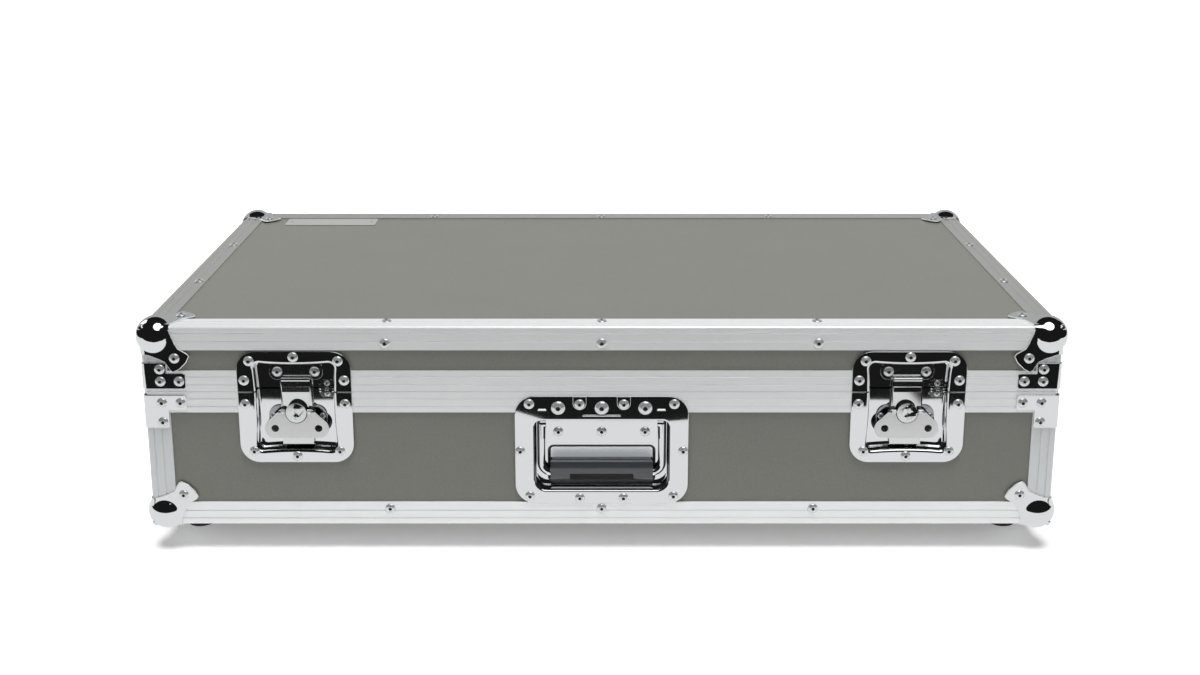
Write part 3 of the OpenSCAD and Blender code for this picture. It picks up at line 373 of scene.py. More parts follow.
def mesh_of(name, shape, sharp=SHARP, wall=0.0, cut=None):
    """Mesh of a shape with outward normals; cut is a (point, normal) plane whose front is cut off."""
    mesh = bpy.data.meshes.new(name)
    mesh.from_pydata([tuple(p) for p in shape.points], [], shape.faces)
    build = bmesh.new()
    build.from_mesh(mesh)
    bmesh.ops.remove_doubles(build, verts=build.verts, dist=MERGE)
    bmesh.ops.dissolve_degenerate(build, edges=build.edges, dist=TINY)
    bmesh.ops.recalc_face_normals(build, faces=build.faces)
    if cut:
        geometry = build.verts[:] + build.edges[:] + build.faces[:]
        bmesh.ops.bisect_plane(build, geom=geometry, dist=TINY, plane_co=cut[0], plane_no=cut[1],
                               clear_outer=True)
    build.to_mesh(mesh)
    build.free()
    if wall:
        mesh = modified(mesh, "SOLIDIFY", thickness=wall, offset=-1)
    mesh.shade_smooth()
    mesh.set_sharp_from_angle(angle=sharp)
    mesh.name = name
    return mesh


def coated(mesh, *names):
    """The mesh with the named materials in place of any others."""
    mesh.materials.clear()
    for name in names:
        mesh.materials.append(bpy.data.materials[name])
    return mesh


def piece(name, mesh, body, replaced=()):
    """Finished piece at the origin, riding on its body."""
    made = placed(name, mesh)
    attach(made, body)
    if replaced:
        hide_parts(*replaced)
    return made


def stand_in(name, mesh, node):
    """Piece in the place of a CAD node, on its body."""
    return piece(name, mesh, BODY_OF[node], (node,))


def front_matrix(x=0.0):
    """Frame of the front face: x along it, y up from the parting, z outwards."""
    case = bpy.context.scene.flightcase_case
    return Matrix.Translation((x, -case.front, case.parting)) @ Matrix.Rotation(math.pi / 2, 4, "X")


# Materials

SPECKLE_SCALE = 900.0
PATCH_SCALE = 9.0
SMUDGE_SCALE = 22.0
LEAST_ROUGHNESS = 0.03
EVEN = (900.0,) * 3
ALONG_X = (30.0, 1600.0, 1600.0)
ALONG_Y = (1600.0, 30.0, 1600.0)
ALONG_Z = (1600.0, 1600.0, 30.0)


def feed(tree, node, inputs):
    """Links inputs of a node, by label or number, to sockets, or sets them to values."""
    for key, value in inputs.items():
        if isinstance(value, bpy.types.NodeSocket):
            tree.links.new(value, node.inputs[key])
        else:
            node.inputs[key].default_value = value


def add_node(tree, kind, inputs=None, **settings):
    """New node with its settings and inputs."""
    node = tree.nodes.new(kind)
    for key, value in settings.items():
        setattr(node, key, value)
    feed(tree, node, inputs or {})
    return node


def math_node(tree, operation, *values):
    """Output of a math node on sockets or numbers."""
    return add_node(tree, "ShaderNodeMath", dict(enumerate(values)), operation=operation).outputs[0]


def noise_node(tree, vector, scale, detail=3.0, roughness=0.55):
    """Value output of a noise on a vector."""
    return add_node(tree, "ShaderNodeTexNoise", {"Vector": vector, "Scale": scale, "Detail": detail,
                                                 "Roughness": roughness}).outputs[0]


def swing(tree, noise, strength):
    """The noise about zero instead of a half, times a strength."""
    return math_node(tree, "MULTIPLY", math_node(tree, "SUBTRACT", noise, 0.5), strength)


def scaled_colour(tree, colour, gain):
    """A colour socket times a number socket."""
    return add_node(tree, "ShaderNodeVectorMath", {0: colour, "Scale": gain},
                    operation="SCALE").outputs[0]


def new_group(name, inputs, outputs):
    """Shader group with sockets of the given kinds: its tree, end nodes and object coordinates."""
    tree = bpy.data.node_groups.new(name, "ShaderNodeTree")
    for way, sockets in (("INPUT", inputs), ("OUTPUT", outputs)):
        for label, kind in sockets.items():
            tree.interface.new_socket(label, in_out=way, socket_type="NodeSocket" + kind)
    where = add_node(tree, "ShaderNodeTexCoord").outputs["Object"]
    return tree, add_node(tree, "NodeGroupInput"), add_node(tree, "NodeGroupOutput"), where


def make_grain_group():
    """Brushed or fine-grained surface: roughness and height from noise stretched along the grain."""
    tree, start, end, where = new_group(
        "surface_grain",
        {"Stretch": "Vector", "Roughness": "Float", "Variation": "Float", "Smudges": "Float"},
        {"Roughness": "Float", "Height": "Float"})
    mapping = add_node(tree, "ShaderNodeMapping", {"Vector": where, "Scale": start.outputs["Stretch"]})
    fine = noise_node(tree, mapping.outputs[0], 1.0)
    broad = noise_node(tree, where, SMUDGE_SCALE, 4.0)
    grain = swing(tree, fine, start.outputs["Variation"])
    smudge = swing(tree, broad, start.outputs["Smudges"])
    total = math_node(tree, "ADD", start.outputs["Roughness"], math_node(tree, "ADD", grain, smudge))
    feed(tree, end, {"Roughness": math_node(tree, "MAXIMUM", total, LEAST_ROUGHNESS), "Height": fine})


def make_tone_group():
    """Colour that varies a little over the surface, in fine speckles and in broad patches."""
    tree, start, end, where = new_group(
        "surface_tone", {"Colour": "Color", "Speckle": "Float", "Patches": "Float"},
        {"Colour": "Color"})
    fine = swing(tree, noise_node(tree, where, SPECKLE_SCALE, 2.0, 0.5), start.outputs["Speckle"])
    patch = swing(tree, noise_node(tree, where, PATCH_SCALE, 2.0), start.outputs["Patches"])
    gain = math_node(tree, "ADD", 1.0, math_node(tree, "ADD", fine, patch))
    feed(tree, end, {"Colour": scaled_colour(tree, start.outputs["Colour"], gain)})


def make_cell_group():
    """Open foam cells: a lower height inside each cell, and painted shade that darkens the colour
    there.
    """
    tree, start, end, where = new_group("foam_cells", {"Colour": "Color", "Scale": "Float"},
                                        {"Colour": "Color", "Height": "Float"})
    distance = add_node(tree, "ShaderNodeTexVoronoi",
                        {"Vector": where, "Scale": start.outputs["Scale"]}).outputs["Distance"]
    # Painted shade: the colour is darker towards the middle of each cell, where the foam is lowest
    gain = math_node(tree, "ADD", 0.5, distance)
    feed(tree, end, {"Colour": scaled_colour(tree, start.outputs["Colour"], gain),
                     "Height": distance})


def use_group(tree, name, **values):
    """Group node in a material, with inputs set by label."""
    return add_node(tree, "ShaderNodeGroup", values, node_tree=bpy.data.node_groups[name])


def new_material(name):
    """Node material; returns it, its tree and its shader."""
    material = bpy.data.materials.new(name)
    material.use_nodes = True
    return material, material.node_tree, material.node_tree.nodes["Principled BSDF"]


def make_material(name, base, metallic, roughness, stretch=EVEN, variation=0.08, smudges=0.04,
                  bump=0.1, depth=0.00002, speckle=0.0, patches=0.0, cells=0.0):
    """Procedural material on object coordinates; returns its shader."""
    if name in bpy.data.materials:
        raise RuntimeError("a CAD material is already called " + name)
    material, tree, shader = new_material(name)
    rgba = (*base, 1.0)
    grain = use_group(tree, "surface_grain", Stretch=stretch, Roughness=roughness,
                      Variation=variation, Smudges=smudges)
    height = grain.outputs["Height"]
    feed(tree, shader, {"Metallic": metallic, "Base Color": rgba,
                        "Roughness": grain.outputs["Roughness"]})
    if cells:
        foam = use_group(tree, "foam_cells", Colour=rgba, Scale=cells)
        height = foam.outputs["Height"]
        feed(tree, shader, {"Base Color": foam.outputs["Colour"]})
    elif speckle or patches:
        tone = use_group(tree, "surface_tone", Colour=rgba, Speckle=speckle, Patches=patches)
        feed(tree, shader, {"Base Color": tone.outputs["Colour"]})
    normal = add_node(tree, "ShaderNodeBump", {"Strength": bump, "Distance": depth, "Height": height})
    feed(tree, shader, {"Normal": normal.outputs["Normal"]})
    return shader


def material_of(node):
    """Name of the material for a CAD node that stays, or None."""
    if SLOT_OF[node] != "ribbed_aluminium":
        return {"laminate_board": "laminate", "plain_steel": "zinc_plate",
                "foot_rubber": "rubber"}.get(SLOT_OF[node])
    for word, run in (("posts", "z"), ("side", "y"), ("back", "back")):
        if word in node:
            return "aluminium_" + run
    return "aluminium_x"


def board_and_extrusion_materials(finish):
    """Speckled laminate, and aluminium ribbed along each run."""
    make_material("laminate", finish.laminate, 0.0, 0.36, variation=0.10, bump=0.25, depth=0.00006,
                  speckle=0.35, patches=0.10, stretch=(1100.0,) * 3)
    # One aluminium in four copies: colour and metallic share differ by which way the run faces, painted
    # light and shade
    for run, tone, metallic, stretch in (("x", finish.aluminium, 0.46, ALONG_X),
                                         ("back", finish.side_aluminium, 0.85, ALONG_X),
                                         ("y", finish.side_aluminium, 0.85, ALONG_Y),
                                         ("z", finish.post_aluminium, 0.42, ALONG_Z)):
        make_material("aluminium_" + run, tone, metallic, 0.38, stretch=stretch, variation=0.10,
                      smudges=0.06, bump=0.06)


# Material, its colour setting, metallic share, roughness and its variation, smudges, bump, depth of
# the bump and scale of the grain
FINISHES = (
    ("chrome", "chrome", 1.0, 0.035, 0.01, 0.03, 0.02, 0.00003, 60.0),
    # Lighter, rougher chrome of the chamfers: painted highlight
    ("painted_highlight_chrome", "chrome", 0.4, 0.3, 0.02, 0.03, 0.02, 0.00002, 900.0),
    ("nickel_plate", "nickel", 1.0, 0.08, 0.02, 0.04, 0.01, 0.00003, 60.0),
    # Dark steel for painted shade and painted dark reflections
    ("painted_shade_steel", "dark", 0.8, 0.22, 0.04, 0.05, 0.03, 0.00002, 900.0),
    # Satin pocket that glows: painted light
    ("pocket_painted_glow", "pocket", 0.3, 0.4, 0.06, 0.05, 0.03, 0.00002, 900.0),
    ("wing_steel", "wing", 0.75, 0.34, 0.08, 0.08, 0.05, 0.00003, 300.0),
    ("plate_steel", "plate", 1.0, 0.12, 0.04, 0.05, 0.03, 0.00003, 90.0),
    ("badge_steel", "badge", 0.4, 0.35, 0.08, 0.08, 0.05, 0.00002, 900.0),
    ("rivet_plating", "rivet", 0.7, 0.20, 0.05, 0.05, 0.05, 0.00002, 120.0),
    ("zinc_plate", "nickel", 1.0, 0.24, 0.1, 0.1, 0.05, 0.00002, 900.0),
    ("grip", "grip", 0.0, 0.20, 0.1, 0.04, 0.12, 0.00008, 2500.0),
    # Rubber of the feet, also painted shade in the dimples and the grip's slot
    ("rubber", "rubber", 0.0, 0.7, 0.1, 0.04, 0.3, 0.0001, 900.0),
)
# Strength of the pocket's painted glow
POCKET_PAINTED_GLOW = 0.3


def hardware_materials(finish):
    """Plated and satin steels, a dark steel that paints shade, moulded grip and rubber, which also
    paints shade in dimples and the grip's slot; the satin pocket has a painted glow.
    """
    shaders = {}
    for name, key, metallic, roughness, variation, smudges, bump, depth, scale in FINISHES:
        shaders[name] = make_material(name, getattr(finish, key), metallic, roughness, (scale,) * 3,
                                      variation, smudges, bump, depth)
    # Painted glow of the pocket, in its own colour
    pocket = shaders["pocket_painted_glow"].inputs
    pocket["Emission Color"].default_value = (*finish.pocket, 1.0)
    pocket["Emission Strength"].default_value = POCKET_PAINTED_GLOW
    shaders["grip"].inputs["Specular IOR Level"].default_value = 1.0


def foam_material(finish):
    """Foam with open cells."""
    make_material("foam", finish.foam, 0.0, 0.95, cells=650.0, bump=0.8, depth=0.0006)


class FLIGHTCASE_OT_materials(bpy.types.Operator):
    """Builds the materials and puts them on the CAD nodes that stay"""

    bl_idname = "flightcase.materials"
    bl_label = "Materials"

    def execute(self, context):
        make_grain_group()
        make_tone_group()
        make_cell_group()
        for family in (board_and_extrusion_materials, hardware_materials, foam_material):
            family(context.scene.flightcase_finish)
        for node in SLOT_OF:
            if material_of(node):
                for slot in frame["nodes"][node].material_slots:
                    slot.material = bpy.data.materials[material_of(node)]
        return {"FINISHED"}


# Hardware copied from the CAD nodes, with softened edges

# Drop of a chamfer as a share of its width
CHAMFER_SHARE = 0.87
# How square a plate's face and the faces beside it stand to an axis, and the least area of a plate
PLATE_SQUARE = 0.9995
SIDE_SQUARE = 0.05
PLATE_AREA = 2e-5
# Normals past which a face of the latch counts as the front, and of the handle as a side; the other
# latch faces and the handle's sides get painted shade
FACING_FRONT = 0.5
FACING_SIDE = 0.85
# Slot in the grip that gets painted shade: distance below the parting, width, height and depth
GRIP_SLOT_DROP = 0.0887
GRIP_SLOT_WIDTH = 0.062
GRIP_SLOT_HEIGHT = 0.0072
GRIP_SLOT_DEPTH = 0.0018

# Piece, CAD node, material and width of its bevels in millimetres
COPIES = (
    ("ball_corners_base", "base_ball_corners", "chrome", 0.0),
    ("ball_corners_lid", "lid_ball_corners", "chrome", 0.0),
    ("braces_base", "base_corner_braces", "chrome", 0.45),
    ("braces_lid", "lid_corner_braces", "chrome", 0.45),
    ("latch_plates", "latch_base_plates", "plate_steel", 0.2),
    ("lugs_base", "base_padlock_lugs", "nickel_plate", 0.15),
    ("lugs_lid", "lid_padlock_lugs", "nickel_plate", 0.15),
    ("keepers", "latch_keepers", "nickel_plate", 0.2),
    ("cam_left", "left_cam", "nickel_plate", 0.25),
    ("cam_right", "right_cam", "nickel_plate", 0.25),
    ("wing_left", "left_wing", "wing_steel", 0.25),
    ("wing_right", "right_wing", "wing_steel", 0.25),
    ("claw_left", "left_claw", "nickel_plate", 0.2),
    ("claw_right", "right_claw", "nickel_plate", 0.2),
    ("cover", "handle_cover", "chrome", 0.5),
    ("bail", "handle_bail", "chrome", 0.0),
    ("grip", "handle_grip", "grip", 0.5),
)


def merged_copy(node, angle=2.0):
    """Copy of a CAD node's mesh, and its bmesh with points merged and flat triangles joined."""
    mesh = frame["nodes"][node].data.copy()
    build = bmesh.new()
    build.from_mesh(mesh)
    bmesh.ops.remove_doubles(build, verts=build.verts, dist=CAD_MERGE)
    bmesh.ops.dissolve_limit(build, angle_limit=math.radians(angle), verts=build.verts,
                             edges=build.edges)
    return mesh, build


def paint_shade(mesh, chosen, material="painted_shade_steel"):
    """Paints shade on the chosen faces of a mesh with the dark steel or another material."""
    mesh.materials.append(bpy.data.materials[material])
    for face in mesh.polygons:
        if chosen(face):
            face.material_index = len(mesh.materials) - 1


def chamfer_plates(build, width):
    """Chamfers with a painted highlight round the flat outer faces of corner plates, but not where they
    meet a ball.
    """
    for out in [sign * axis for axis in Matrix.Identity(3) for sign in (-1, 1)]:
        flat = [face for face in build.faces if face.normal.dot(out) > PLATE_SQUARE
                and face.calc_center_median().dot(out) > 0 and face.calc_area() > PLATE_AREA]
        if not flat:
            continue
        rings = bmesh.ops.inset_region(build, faces=flat, use_boundary=True, use_even_offset=True,
                                       thickness=width)["faces"]
        inner = {v for face in flat for v in face.verts}
        own = set(rings)
        free = {v for face in rings for v in face.verts if v not in inner
                and all(other in own or abs(other.normal.dot(out)) < SIDE_SQUARE
                        for other in v.link_faces)}
        for face in rings:
            # The chamfer faces take the lighter chrome: painted highlight
            if all(v in inner or v in free for v in face.verts):
                face.material_index = 1
        for vertex in free:
            vertex.co -= out * (CHAMFER_SHARE * width)


def hardware_mesh(node, material, width, chamfer):
    """A CAD node's mesh with bevels of a width, or with chamfers round its plates that carry a painted
    highlight.
    """
    mesh, build = merged_copy(node)
    for face in build.faces:
        face.material_index = 0
    if chamfer:
        chamfer_plates(build, chamfer)
        coated(mesh, material, "painted_highlight_chrome")
    else:
        coated(mesh, material)
    build.to_mesh(mesh)
    build.free()
    mesh.shade_smooth()
    mesh.set_sharp_from_angle(angle=SHARP)
    return softened(mesh, width) if width else mesh


class FLIGHTCASE_OT_hardware(bpy.types.Operator):
    """Hardware with the CAD shapes and softened edges"""

    bl_idname = "flightcase.hardware"
    bl_label = "Hardware"

    def execute(self, context):
        case = context.scene.flightcase_case
        for name, node, material, width in COPIES:
            chamfer = case.plate_edge if name.startswith("ball") else 0.0
            mesh = hardware_mesh(node, material, width * MM, chamfer)
            stand_in(name, mesh, node)
            # Painted shade on the edges and backs of the wings and cams
            if name.startswith(("wing", "cam")):
                paint_shade(mesh, lambda face: face.normal.y > -FACING_FRONT)
            # Painted dark reflections on the sides of the cover and the bail
            if name in ("cover", "bail"):
                paint_shade(mesh, lambda face: abs(face.normal.x) > FACING_SIDE)
            # Painted shade in the grip's slot, in the black of the rubber
            if name == "grip":
                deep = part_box(node)[0][1] + GRIP_SLOT_DEPTH
                middle = case.parting - GRIP_SLOT_DROP
                paint_shade(mesh, lambda face: abs(face.center.x) < GRIP_SLOT_WIDTH / 2
                       and abs(face.center.z - middle) < GRIP_SLOT_HEIGHT / 2
                       and deep < face.center.y < deep + GRIP_SLOT_DEPTH, "rubber")
        return {"FINISHED"}


# Pressed dishes of the latches and the handle

# Radius and foot of the rim as shares of the plate, and the inner bend as a share of the rolled edge
RIM_EDGE_SHARE = 0.4
RIM_FOOT_SHARE = 0.2
BEND_SHARE = 0.8
BEND_STEPS = 5
FLAT_LEAD = 0.0004
# Depth below the shelf and sideways normal from which the handle dish has painted shade or the glowing
# pocket finish
LEVEL = 0.02 * MM
WALL_TURN = 0.45
# Height above the dish, thickness and radius of the edges of the raised pieces
TAB_PLATE = (0.0008, 0.0012, 0.0004)
RIDGE_PLATE = (0.0006, 0.0010, 0.0005)
BUMP_PLATE = (0.0, 0.0030, 0.0003)
TAB_CORNER = 0.0004
RELIEF_CORNER = 0.0008
RIDGE_HALF = 0.0009
BUMP_HALF = 0.0018


def dish_shape(outline, recess, plate, depth, roll):
    """Front of a pressed dish: flange, rolled edge and walls; returns it and its floor's ring."""
    shape = Shape()
    rim = rounded_edge(RIM_EDGE_SHARE * plate, plate) + [(0, RIM_FOOT_SHARE * plate)]
    rim_ring = shape.sweep(outline, rim)[0]
    foot = BEND_SHARE * roll
    bend = [(-foot * (1 - math.cos(a)), foot * (1 - math.sin(a)) - depth)
            for a in quarter_turn(BEND_STEPS)]
    profile = rounded_edge(roll, plate, BEND_STEPS) + bend + [(-foot - FLAT_LEAD, -depth)]
    top_ring, floor_ring = shape.sweep(recess, profile)
    shape.cap(rim_ring, top_ring)
    return shape, floor_ring


class FLIGHTCASE_OT_latch_dishes(bpy.types.Operator):
    """The pressed dishes of the latches, parted between the base and the lid"""

    bl_idname = "flightcase.latch_dishes"
    bl_label = "Latch dishes"

    def execute(self, context):
        case = context.scene.flightcase_case
        latch = context.scene.flightcase_latch
        outline = rectangle(latch.width, -latch.down, latch.up, latch.corner)
        recess = bowed(latch.recess + 2 * latch.bow, -latch.recess_down - latch.bow,
                       latch.recess_up + latch.bow, latch.recess_corner, latch.bow)
        recess.reverse()
        shape, floor_ring = dish_shape(outline, recess, case.plate, latch.depth, latch.roll)
        shape.cap(floor_ring)
        for side, sign in (("left", -1), ("right", 1)):
            whole = Shape().add(shape, front_matrix(sign * latch.across))
            for part, up in (("base", -1), ("lid", 1)):
                node = side + "_" + part + "_dish"
                cut = (Vector((0, 0, case.parting + up * case.parting_gap / 2)), Vector((0, 0, -up)))
                mesh = coated(mesh_of(node, whole, wall=case.plate, cut=cut), "chrome")
                stand_in("dish_" + part + "_" + side, mesh, node)
        return {"FINISHED"}


def handle_dish_mesh(case, sizes):
    """Pressed dish of the handle, with painted dark reflections on the edge round its satin pocket and
    on its side walls, and a painted glow in the pocket.
    """
    outline = rectangle(sizes.width, -sizes.top - sizes.height, -sizes.top, sizes.corner)
    bottom, top = -sizes.recess_top - sizes.recess_height, -sizes.recess_top
    corner = sizes.recess_corner
    recess = rectangle(sizes.recess, bottom, top, corner, corner / 2)
    recess.reverse()
    shape, floor_ring = dish_shape(outline, recess, case.plate, sizes.shelf, sizes.roll)
    pocket = rectangle(sizes.pocket, -sizes.pocket_top - sizes.pocket_height, -sizes.pocket_top,
                       sizes.pocket_corner)
    pocket.reverse()
    lip = [(sizes.lip * (1 - math.sin(a)), -sizes.shelf - sizes.lip_depth * (1 - math.cos(a)))
           for a in quarter_turn(BEND_STEPS)]
    wall = [(0.0, -sizes.pocket_depth), (-FLAT_LEAD, -sizes.pocket_depth)]
    pocket_top, pocket_floor = shape.sweep(pocket, lip + wall)
    shape.cap(floor_ring, pocket_top)
    shape.cap(pocket_floor)
    mesh = mesh_of("handle_dish", shape.move(front_matrix()), wall=case.plate)
    coated(mesh, "chrome", "painted_shade_steel", "pocket_painted_glow")
    reach = sizes.pocket / 2 + sizes.lip
    # Painted dark reflections on the pocket's edge and the recess's side walls; the pocket floor takes
    # the satin steel with its painted glow
    for face in mesh.polygons:
        depth = face.center.y + case.front - sizes.shelf
        if abs(face.center.x) < reach and depth > LEVEL:
            face.material_index = 1 if depth < sizes.lip_depth else 2
        elif abs(face.normal.x) > WALL_TURN and abs(face.center.x) < sizes.recess / 2 + sizes.roll:
            face.material_index = 1
    return mesh


def relief_shape(sizes):
    """Tabs, ridge and bumps that stand on the handle's dish."""
    tab = rectangle(2 * sizes.tab, -sizes.tab_low, -sizes.top, sizes.tab, TAB_CORNER)
    ridge = rectangle(2 * sizes.ridge, -RIDGE_HALF, RIDGE_HALF, RELIEF_CORNER)
    bump = rectangle(sizes.bump, -BUMP_HALF, BUMP_HALF, RELIEF_CORNER)
    tilt = Matrix.Rotation(sizes.bump_tilt, 4, "X")
    raised = Shape()
    for x in (-sizes.tab_x, sizes.tab_x):
        raised.add(plate_shape(tab, *TAB_PLATE), Matrix.Translation((x, 0, 0)))
    raised.add(plate_shape(ridge, *RIDGE_PLATE), Matrix.Translation((0, -sizes.ridge_low, 0)))
    for x in (-sizes.bump_x, sizes.bump_x):
        raised.add(plate_shape(bump, *BUMP_PLATE),
                   Matrix.Translation((x, -sizes.bump_low, 0)) @ tilt)
    return raised


class FLIGHTCASE_OT_handle_dish(bpy.types.Operator):
    """The pressed dish of the handle with its pocket, tabs, ridge and bumps"""

    bl_idname = "flightcase.handle_dish"
    bl_label = "Handle dish"

    def execute(self, context):
        case, sizes = context.scene.flightcase_case, context.scene.flightcase_handle
        stand_in("dish_handle", handle_dish_mesh(case, sizes), "handle_dish")
        raised = relief_shape(sizes).move(front_matrix() @ Matrix.Translation((0, 0, case.plate)))
        piece("dish_tabs", coated(mesh_of("dish_tabs", raised), "chrome"), "base")
        return {"FINISHED"}


# Rivets

# Profile of a rivet of radius 1 as (radius, height) pairs, from its foot down into its dimple
RIVET_HEAD = ((1.0, 0.0), (1.0, 0.05), (0.975, 0.10), (0.90, 0.175), (0.78, 0.255), (0.62, 0.325),
              (0.48, 0.368), (0.37, 0.388), (0.325, 0.380), (0.305, 0.340), (0.295, 0.200))
# Radius and least height of the faces in the dimple, which get painted shade
DIMPLE = 0.31
DIMPLE_LOW = 0.1


def rivet_places(node):
    """Centre, outward direction and radius of every rivet of a CAD node."""
    mesh, build = merged_copy(node, 1.0)
    places = []
    left = set(build.faces)
    while left:
        island, queue = [], [left.pop()]
        while queue:
            face = queue.pop()
            island.append(face)
            for edge in face.edges:
                for other in edge.link_faces:
                    if other in left:
                        left.remove(other)
                        queue.append(other)
        base = max(island, key=lambda face: face.calc_area())
        centre = base.calc_center_median()
        radius = max((v.co - centre).length for v in base.verts)
        places.append((centre, -base.normal, radius))
    build.free()
    bpy.data.meshes.remove(mesh)
    return sorted(places, key=lambda place: tuple(round(c, 5) for c in place[0]))


def rivet_tree():
    """Node tree that stands a rivet head on every point, along its outward direction."""
    tree = bpy.data.node_groups.new("rivet_heads", "GeometryNodeTree")
    sockets = {}
    for label in ("Geometry", "Object", "Material"):
        socket = tree.interface.new_socket(label, in_out="INPUT", socket_type="NodeSocket" + label)
        sockets[label] = socket.identifier
    tree.interface.new_socket("Geometry", in_out="OUTPUT", socket_type="NodeSocketGeometry")
    start, end = add_node(tree, "NodeGroupInput"), add_node(tree, "NodeGroupOutput")
    outward, radius = (
        add_node(tree, "GeometryNodeInputNamedAttribute", {"Name": name}, data_type=kind).outputs[0]
        for name, kind in (("outward", "FLOAT_VECTOR"), ("radius", "FLOAT")))
    align = add_node(tree, "FunctionNodeAlignRotationToVector", {"Vector": outward}, axis="Z")
    head = add_node(tree, "GeometryNodeObjectInfo", {"Object": start.outputs["Object"]})
    stand = add_node(tree, "GeometryNodeInstanceOnPoints", {
        "Points": start.outputs["Geometry"], "Instance": head.outputs["Geometry"],
        "Rotation": align.outputs[0], "Scale": radius})
    real = add_node(tree, "GeometryNodeRealizeInstances", {0: stand.outputs[0]})
    paint = add_node(tree, "GeometryNodeSetMaterial", {
        "Geometry": real.outputs[0], "Material": start.outputs["Material"]})
    feed(tree, end, {0: paint.outputs[0]})
    return tree, sockets


def rivet_points(node, places):
    """Mesh of one point for each rivet, with its direction and radius as attributes."""
    points = bpy.data.meshes.new(node)
    points.from_pydata([tuple(centre) for centre, outward, radius in places], [], [])
    directions = points.attributes.new("outward", "FLOAT_VECTOR", "POINT")
    directions.data.foreach_set("vector", [c for place in places for c in place[1]])
    radii = points.attributes.new("radius", "FLOAT", "POINT")
    radii.data.foreach_set("value", [place[2] for place in places])
    return points


class FLIGHTCASE_OT_rivets(bpy.types.Operator):
    """Domed rivets with a dimple at every rivet of the CAD nodes"""

    bl_idname = "flightcase.rivets"
    bl_label = "Rivets"

    def execute(self, context):
        tree, sockets = rivet_tree()
        shape = lathe(RIVET_HEAD)
        head = bpy.data.objects.new("head", mesh_of("head", shape, sharp=math.radians(50)))
        dimple_painted_shade = [face.center.xy.length < DIMPLE and face.center.z > DIMPLE_LOW
                  for face in head.data.polygons]
        for part in ("base", "lid"):
            for kind in ("edge", "hardware"):
                node = part + "_" + kind + "_rivets"
                places = rivet_places(node)
                holder = placed("holder", rivet_points(node, places))
                modifier = holder.modifiers.new("Heads", "NODES")
                modifier.node_group = tree
                modifier[sockets["Object"]] = head
                modifier[sockets["Material"]] = bpy.data.materials["rivet_plating"]
                # The dimples take the black rubber: painted shade
                mesh = coated(baked(holder), "rivet_plating", "rubber")
                mesh.polygons.foreach_set("material_index", dimple_painted_shade * len(places))
                stand_in("rivets_" + kind + "_" + part, mesh, node)
        bpy.data.objects.remove(head)
        return {"FINISHED"}


# Badge plate and foam

BADGE_CORNER = 0.004
BADGE_PLATE = 0.0008
BADGE_EDGE = 0.0003
BADGE_RIVET = 0.0022
BADGE_RIVET_INSET = 0.006


class FLIGHTCASE_OT_badge(bpy.types.Operator):
    """The bare plate at the back left of the lid's top"""

    bl_idname = "flightcase.badge"
    bl_label = "Badge plate"

    def execute(self, context):
        case = context.scene.flightcase_case
        half_width, half_depth = case.badge_width / 2, case.badge_depth / 2
        outline = rectangle(case.badge_width, -half_depth, half_depth, BADGE_CORNER)
        shape = plate_shape(outline, BADGE_PLATE, BADGE_PLATE, BADGE_EDGE)
        rivet = lathe([(r * BADGE_RIVET, z * BADGE_RIVET + BADGE_PLATE) for r, z in RIVET_HEAD])
        for sign in (-1, 1):
            shape.add(rivet, Matrix.Translation((sign * (half_width - BADGE_RIVET_INSET), 0, 0)))
        centre = case.badge_x + half_width - case.side
        laminate_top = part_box("lid_top_panel")[1][2]
        shape.move(Matrix.Translation((centre, case.badge_y, laminate_top)))
        mesh = coated(mesh_of("badge_plate", shape), "badge_steel")
        piece("badge_plate", mesh, "lid")
        return {"FINISHED"}


class FLIGHTCASE_OT_foam(bpy.types.Operator):
    """Foam pads with softened edges"""

    bl_idname = "flightcase.foam"
    bl_label = "Foam"

    def execute(self, context):
        for node in ("floor_foam", "wall_foam", "lid_foam"):
            mesh, build = merged_copy(node)
            build.to_mesh(mesh)
            build.free()
            mesh.shade_smooth()
            mesh = coated(softened(mesh, context.scene.flightcase_case.foam_edge, 4), "foam")
            stand_in("pad_" + node, mesh, node)
        return {"FINISHED"}


# Studio

WHITE = (1.0, 1.0, 1.0, 1.0)
CAMERA_X = -0.00162
CAMERA_SHIFT = -0.10
FLOOR_REACH = 6.0
FRONT_LIGHT_PLACE = Vector((1.4, -2.2, 0.5))
FRONT_LIGHT_AIM = Vector((0.2, 0.0, 0.1))
FRONT_LIGHT_SIZE = (1.6, 0.8)
TABLE_BACK = 1.2
# Soft box as x, y and radius, then strip and backdrop as two points of the plan and two heights
SOFT_BOX = (0.45, -1.1, 1.0)
SOFT_BOX_HEIGHT = 2.15
SOFT_BOX_SLOPE = 0.25
STRIP = ((-1.9, 0.3), (-1.9, 1.2), 0.4, 1.9)
BACKDROP = ((-3, 2.2), (3, 2.2), 0, 2.2)
TABLE_GREY = 0.80
SOFT_BOX_GREY = 1.8
STRIP_GREY = 1.3
BACKDROP_GREY = 0.42

# Front edge of the reflected table as (x, y), nearer to the case before the latches and the handle
TABLE_EDGE = ((-1.6, -0.745), (-0.62, -0.668), (-0.505, -0.668), (-0.475, -0.631), (-0.383, -0.6225),
              (-0.30, -0.6265), (-0.112, -0.614), (-0.062, -0.574), (0.062, -0.571), (0.112, -0.582),
              (0.30, -0.6250), (0.383, -0.6235), (0.475, -0.631), (0.505, -0.668), (0.62, -0.668),
              (1.6, -0.745))


def sheet(name, points, material):
    """Flat object of one face."""
    mesh = bpy.data.meshes.new(name)
    mesh.from_pydata(points, [], [tuple(range(len(points)))])
    mesh.materials.append(material)
    return placed(name, mesh)


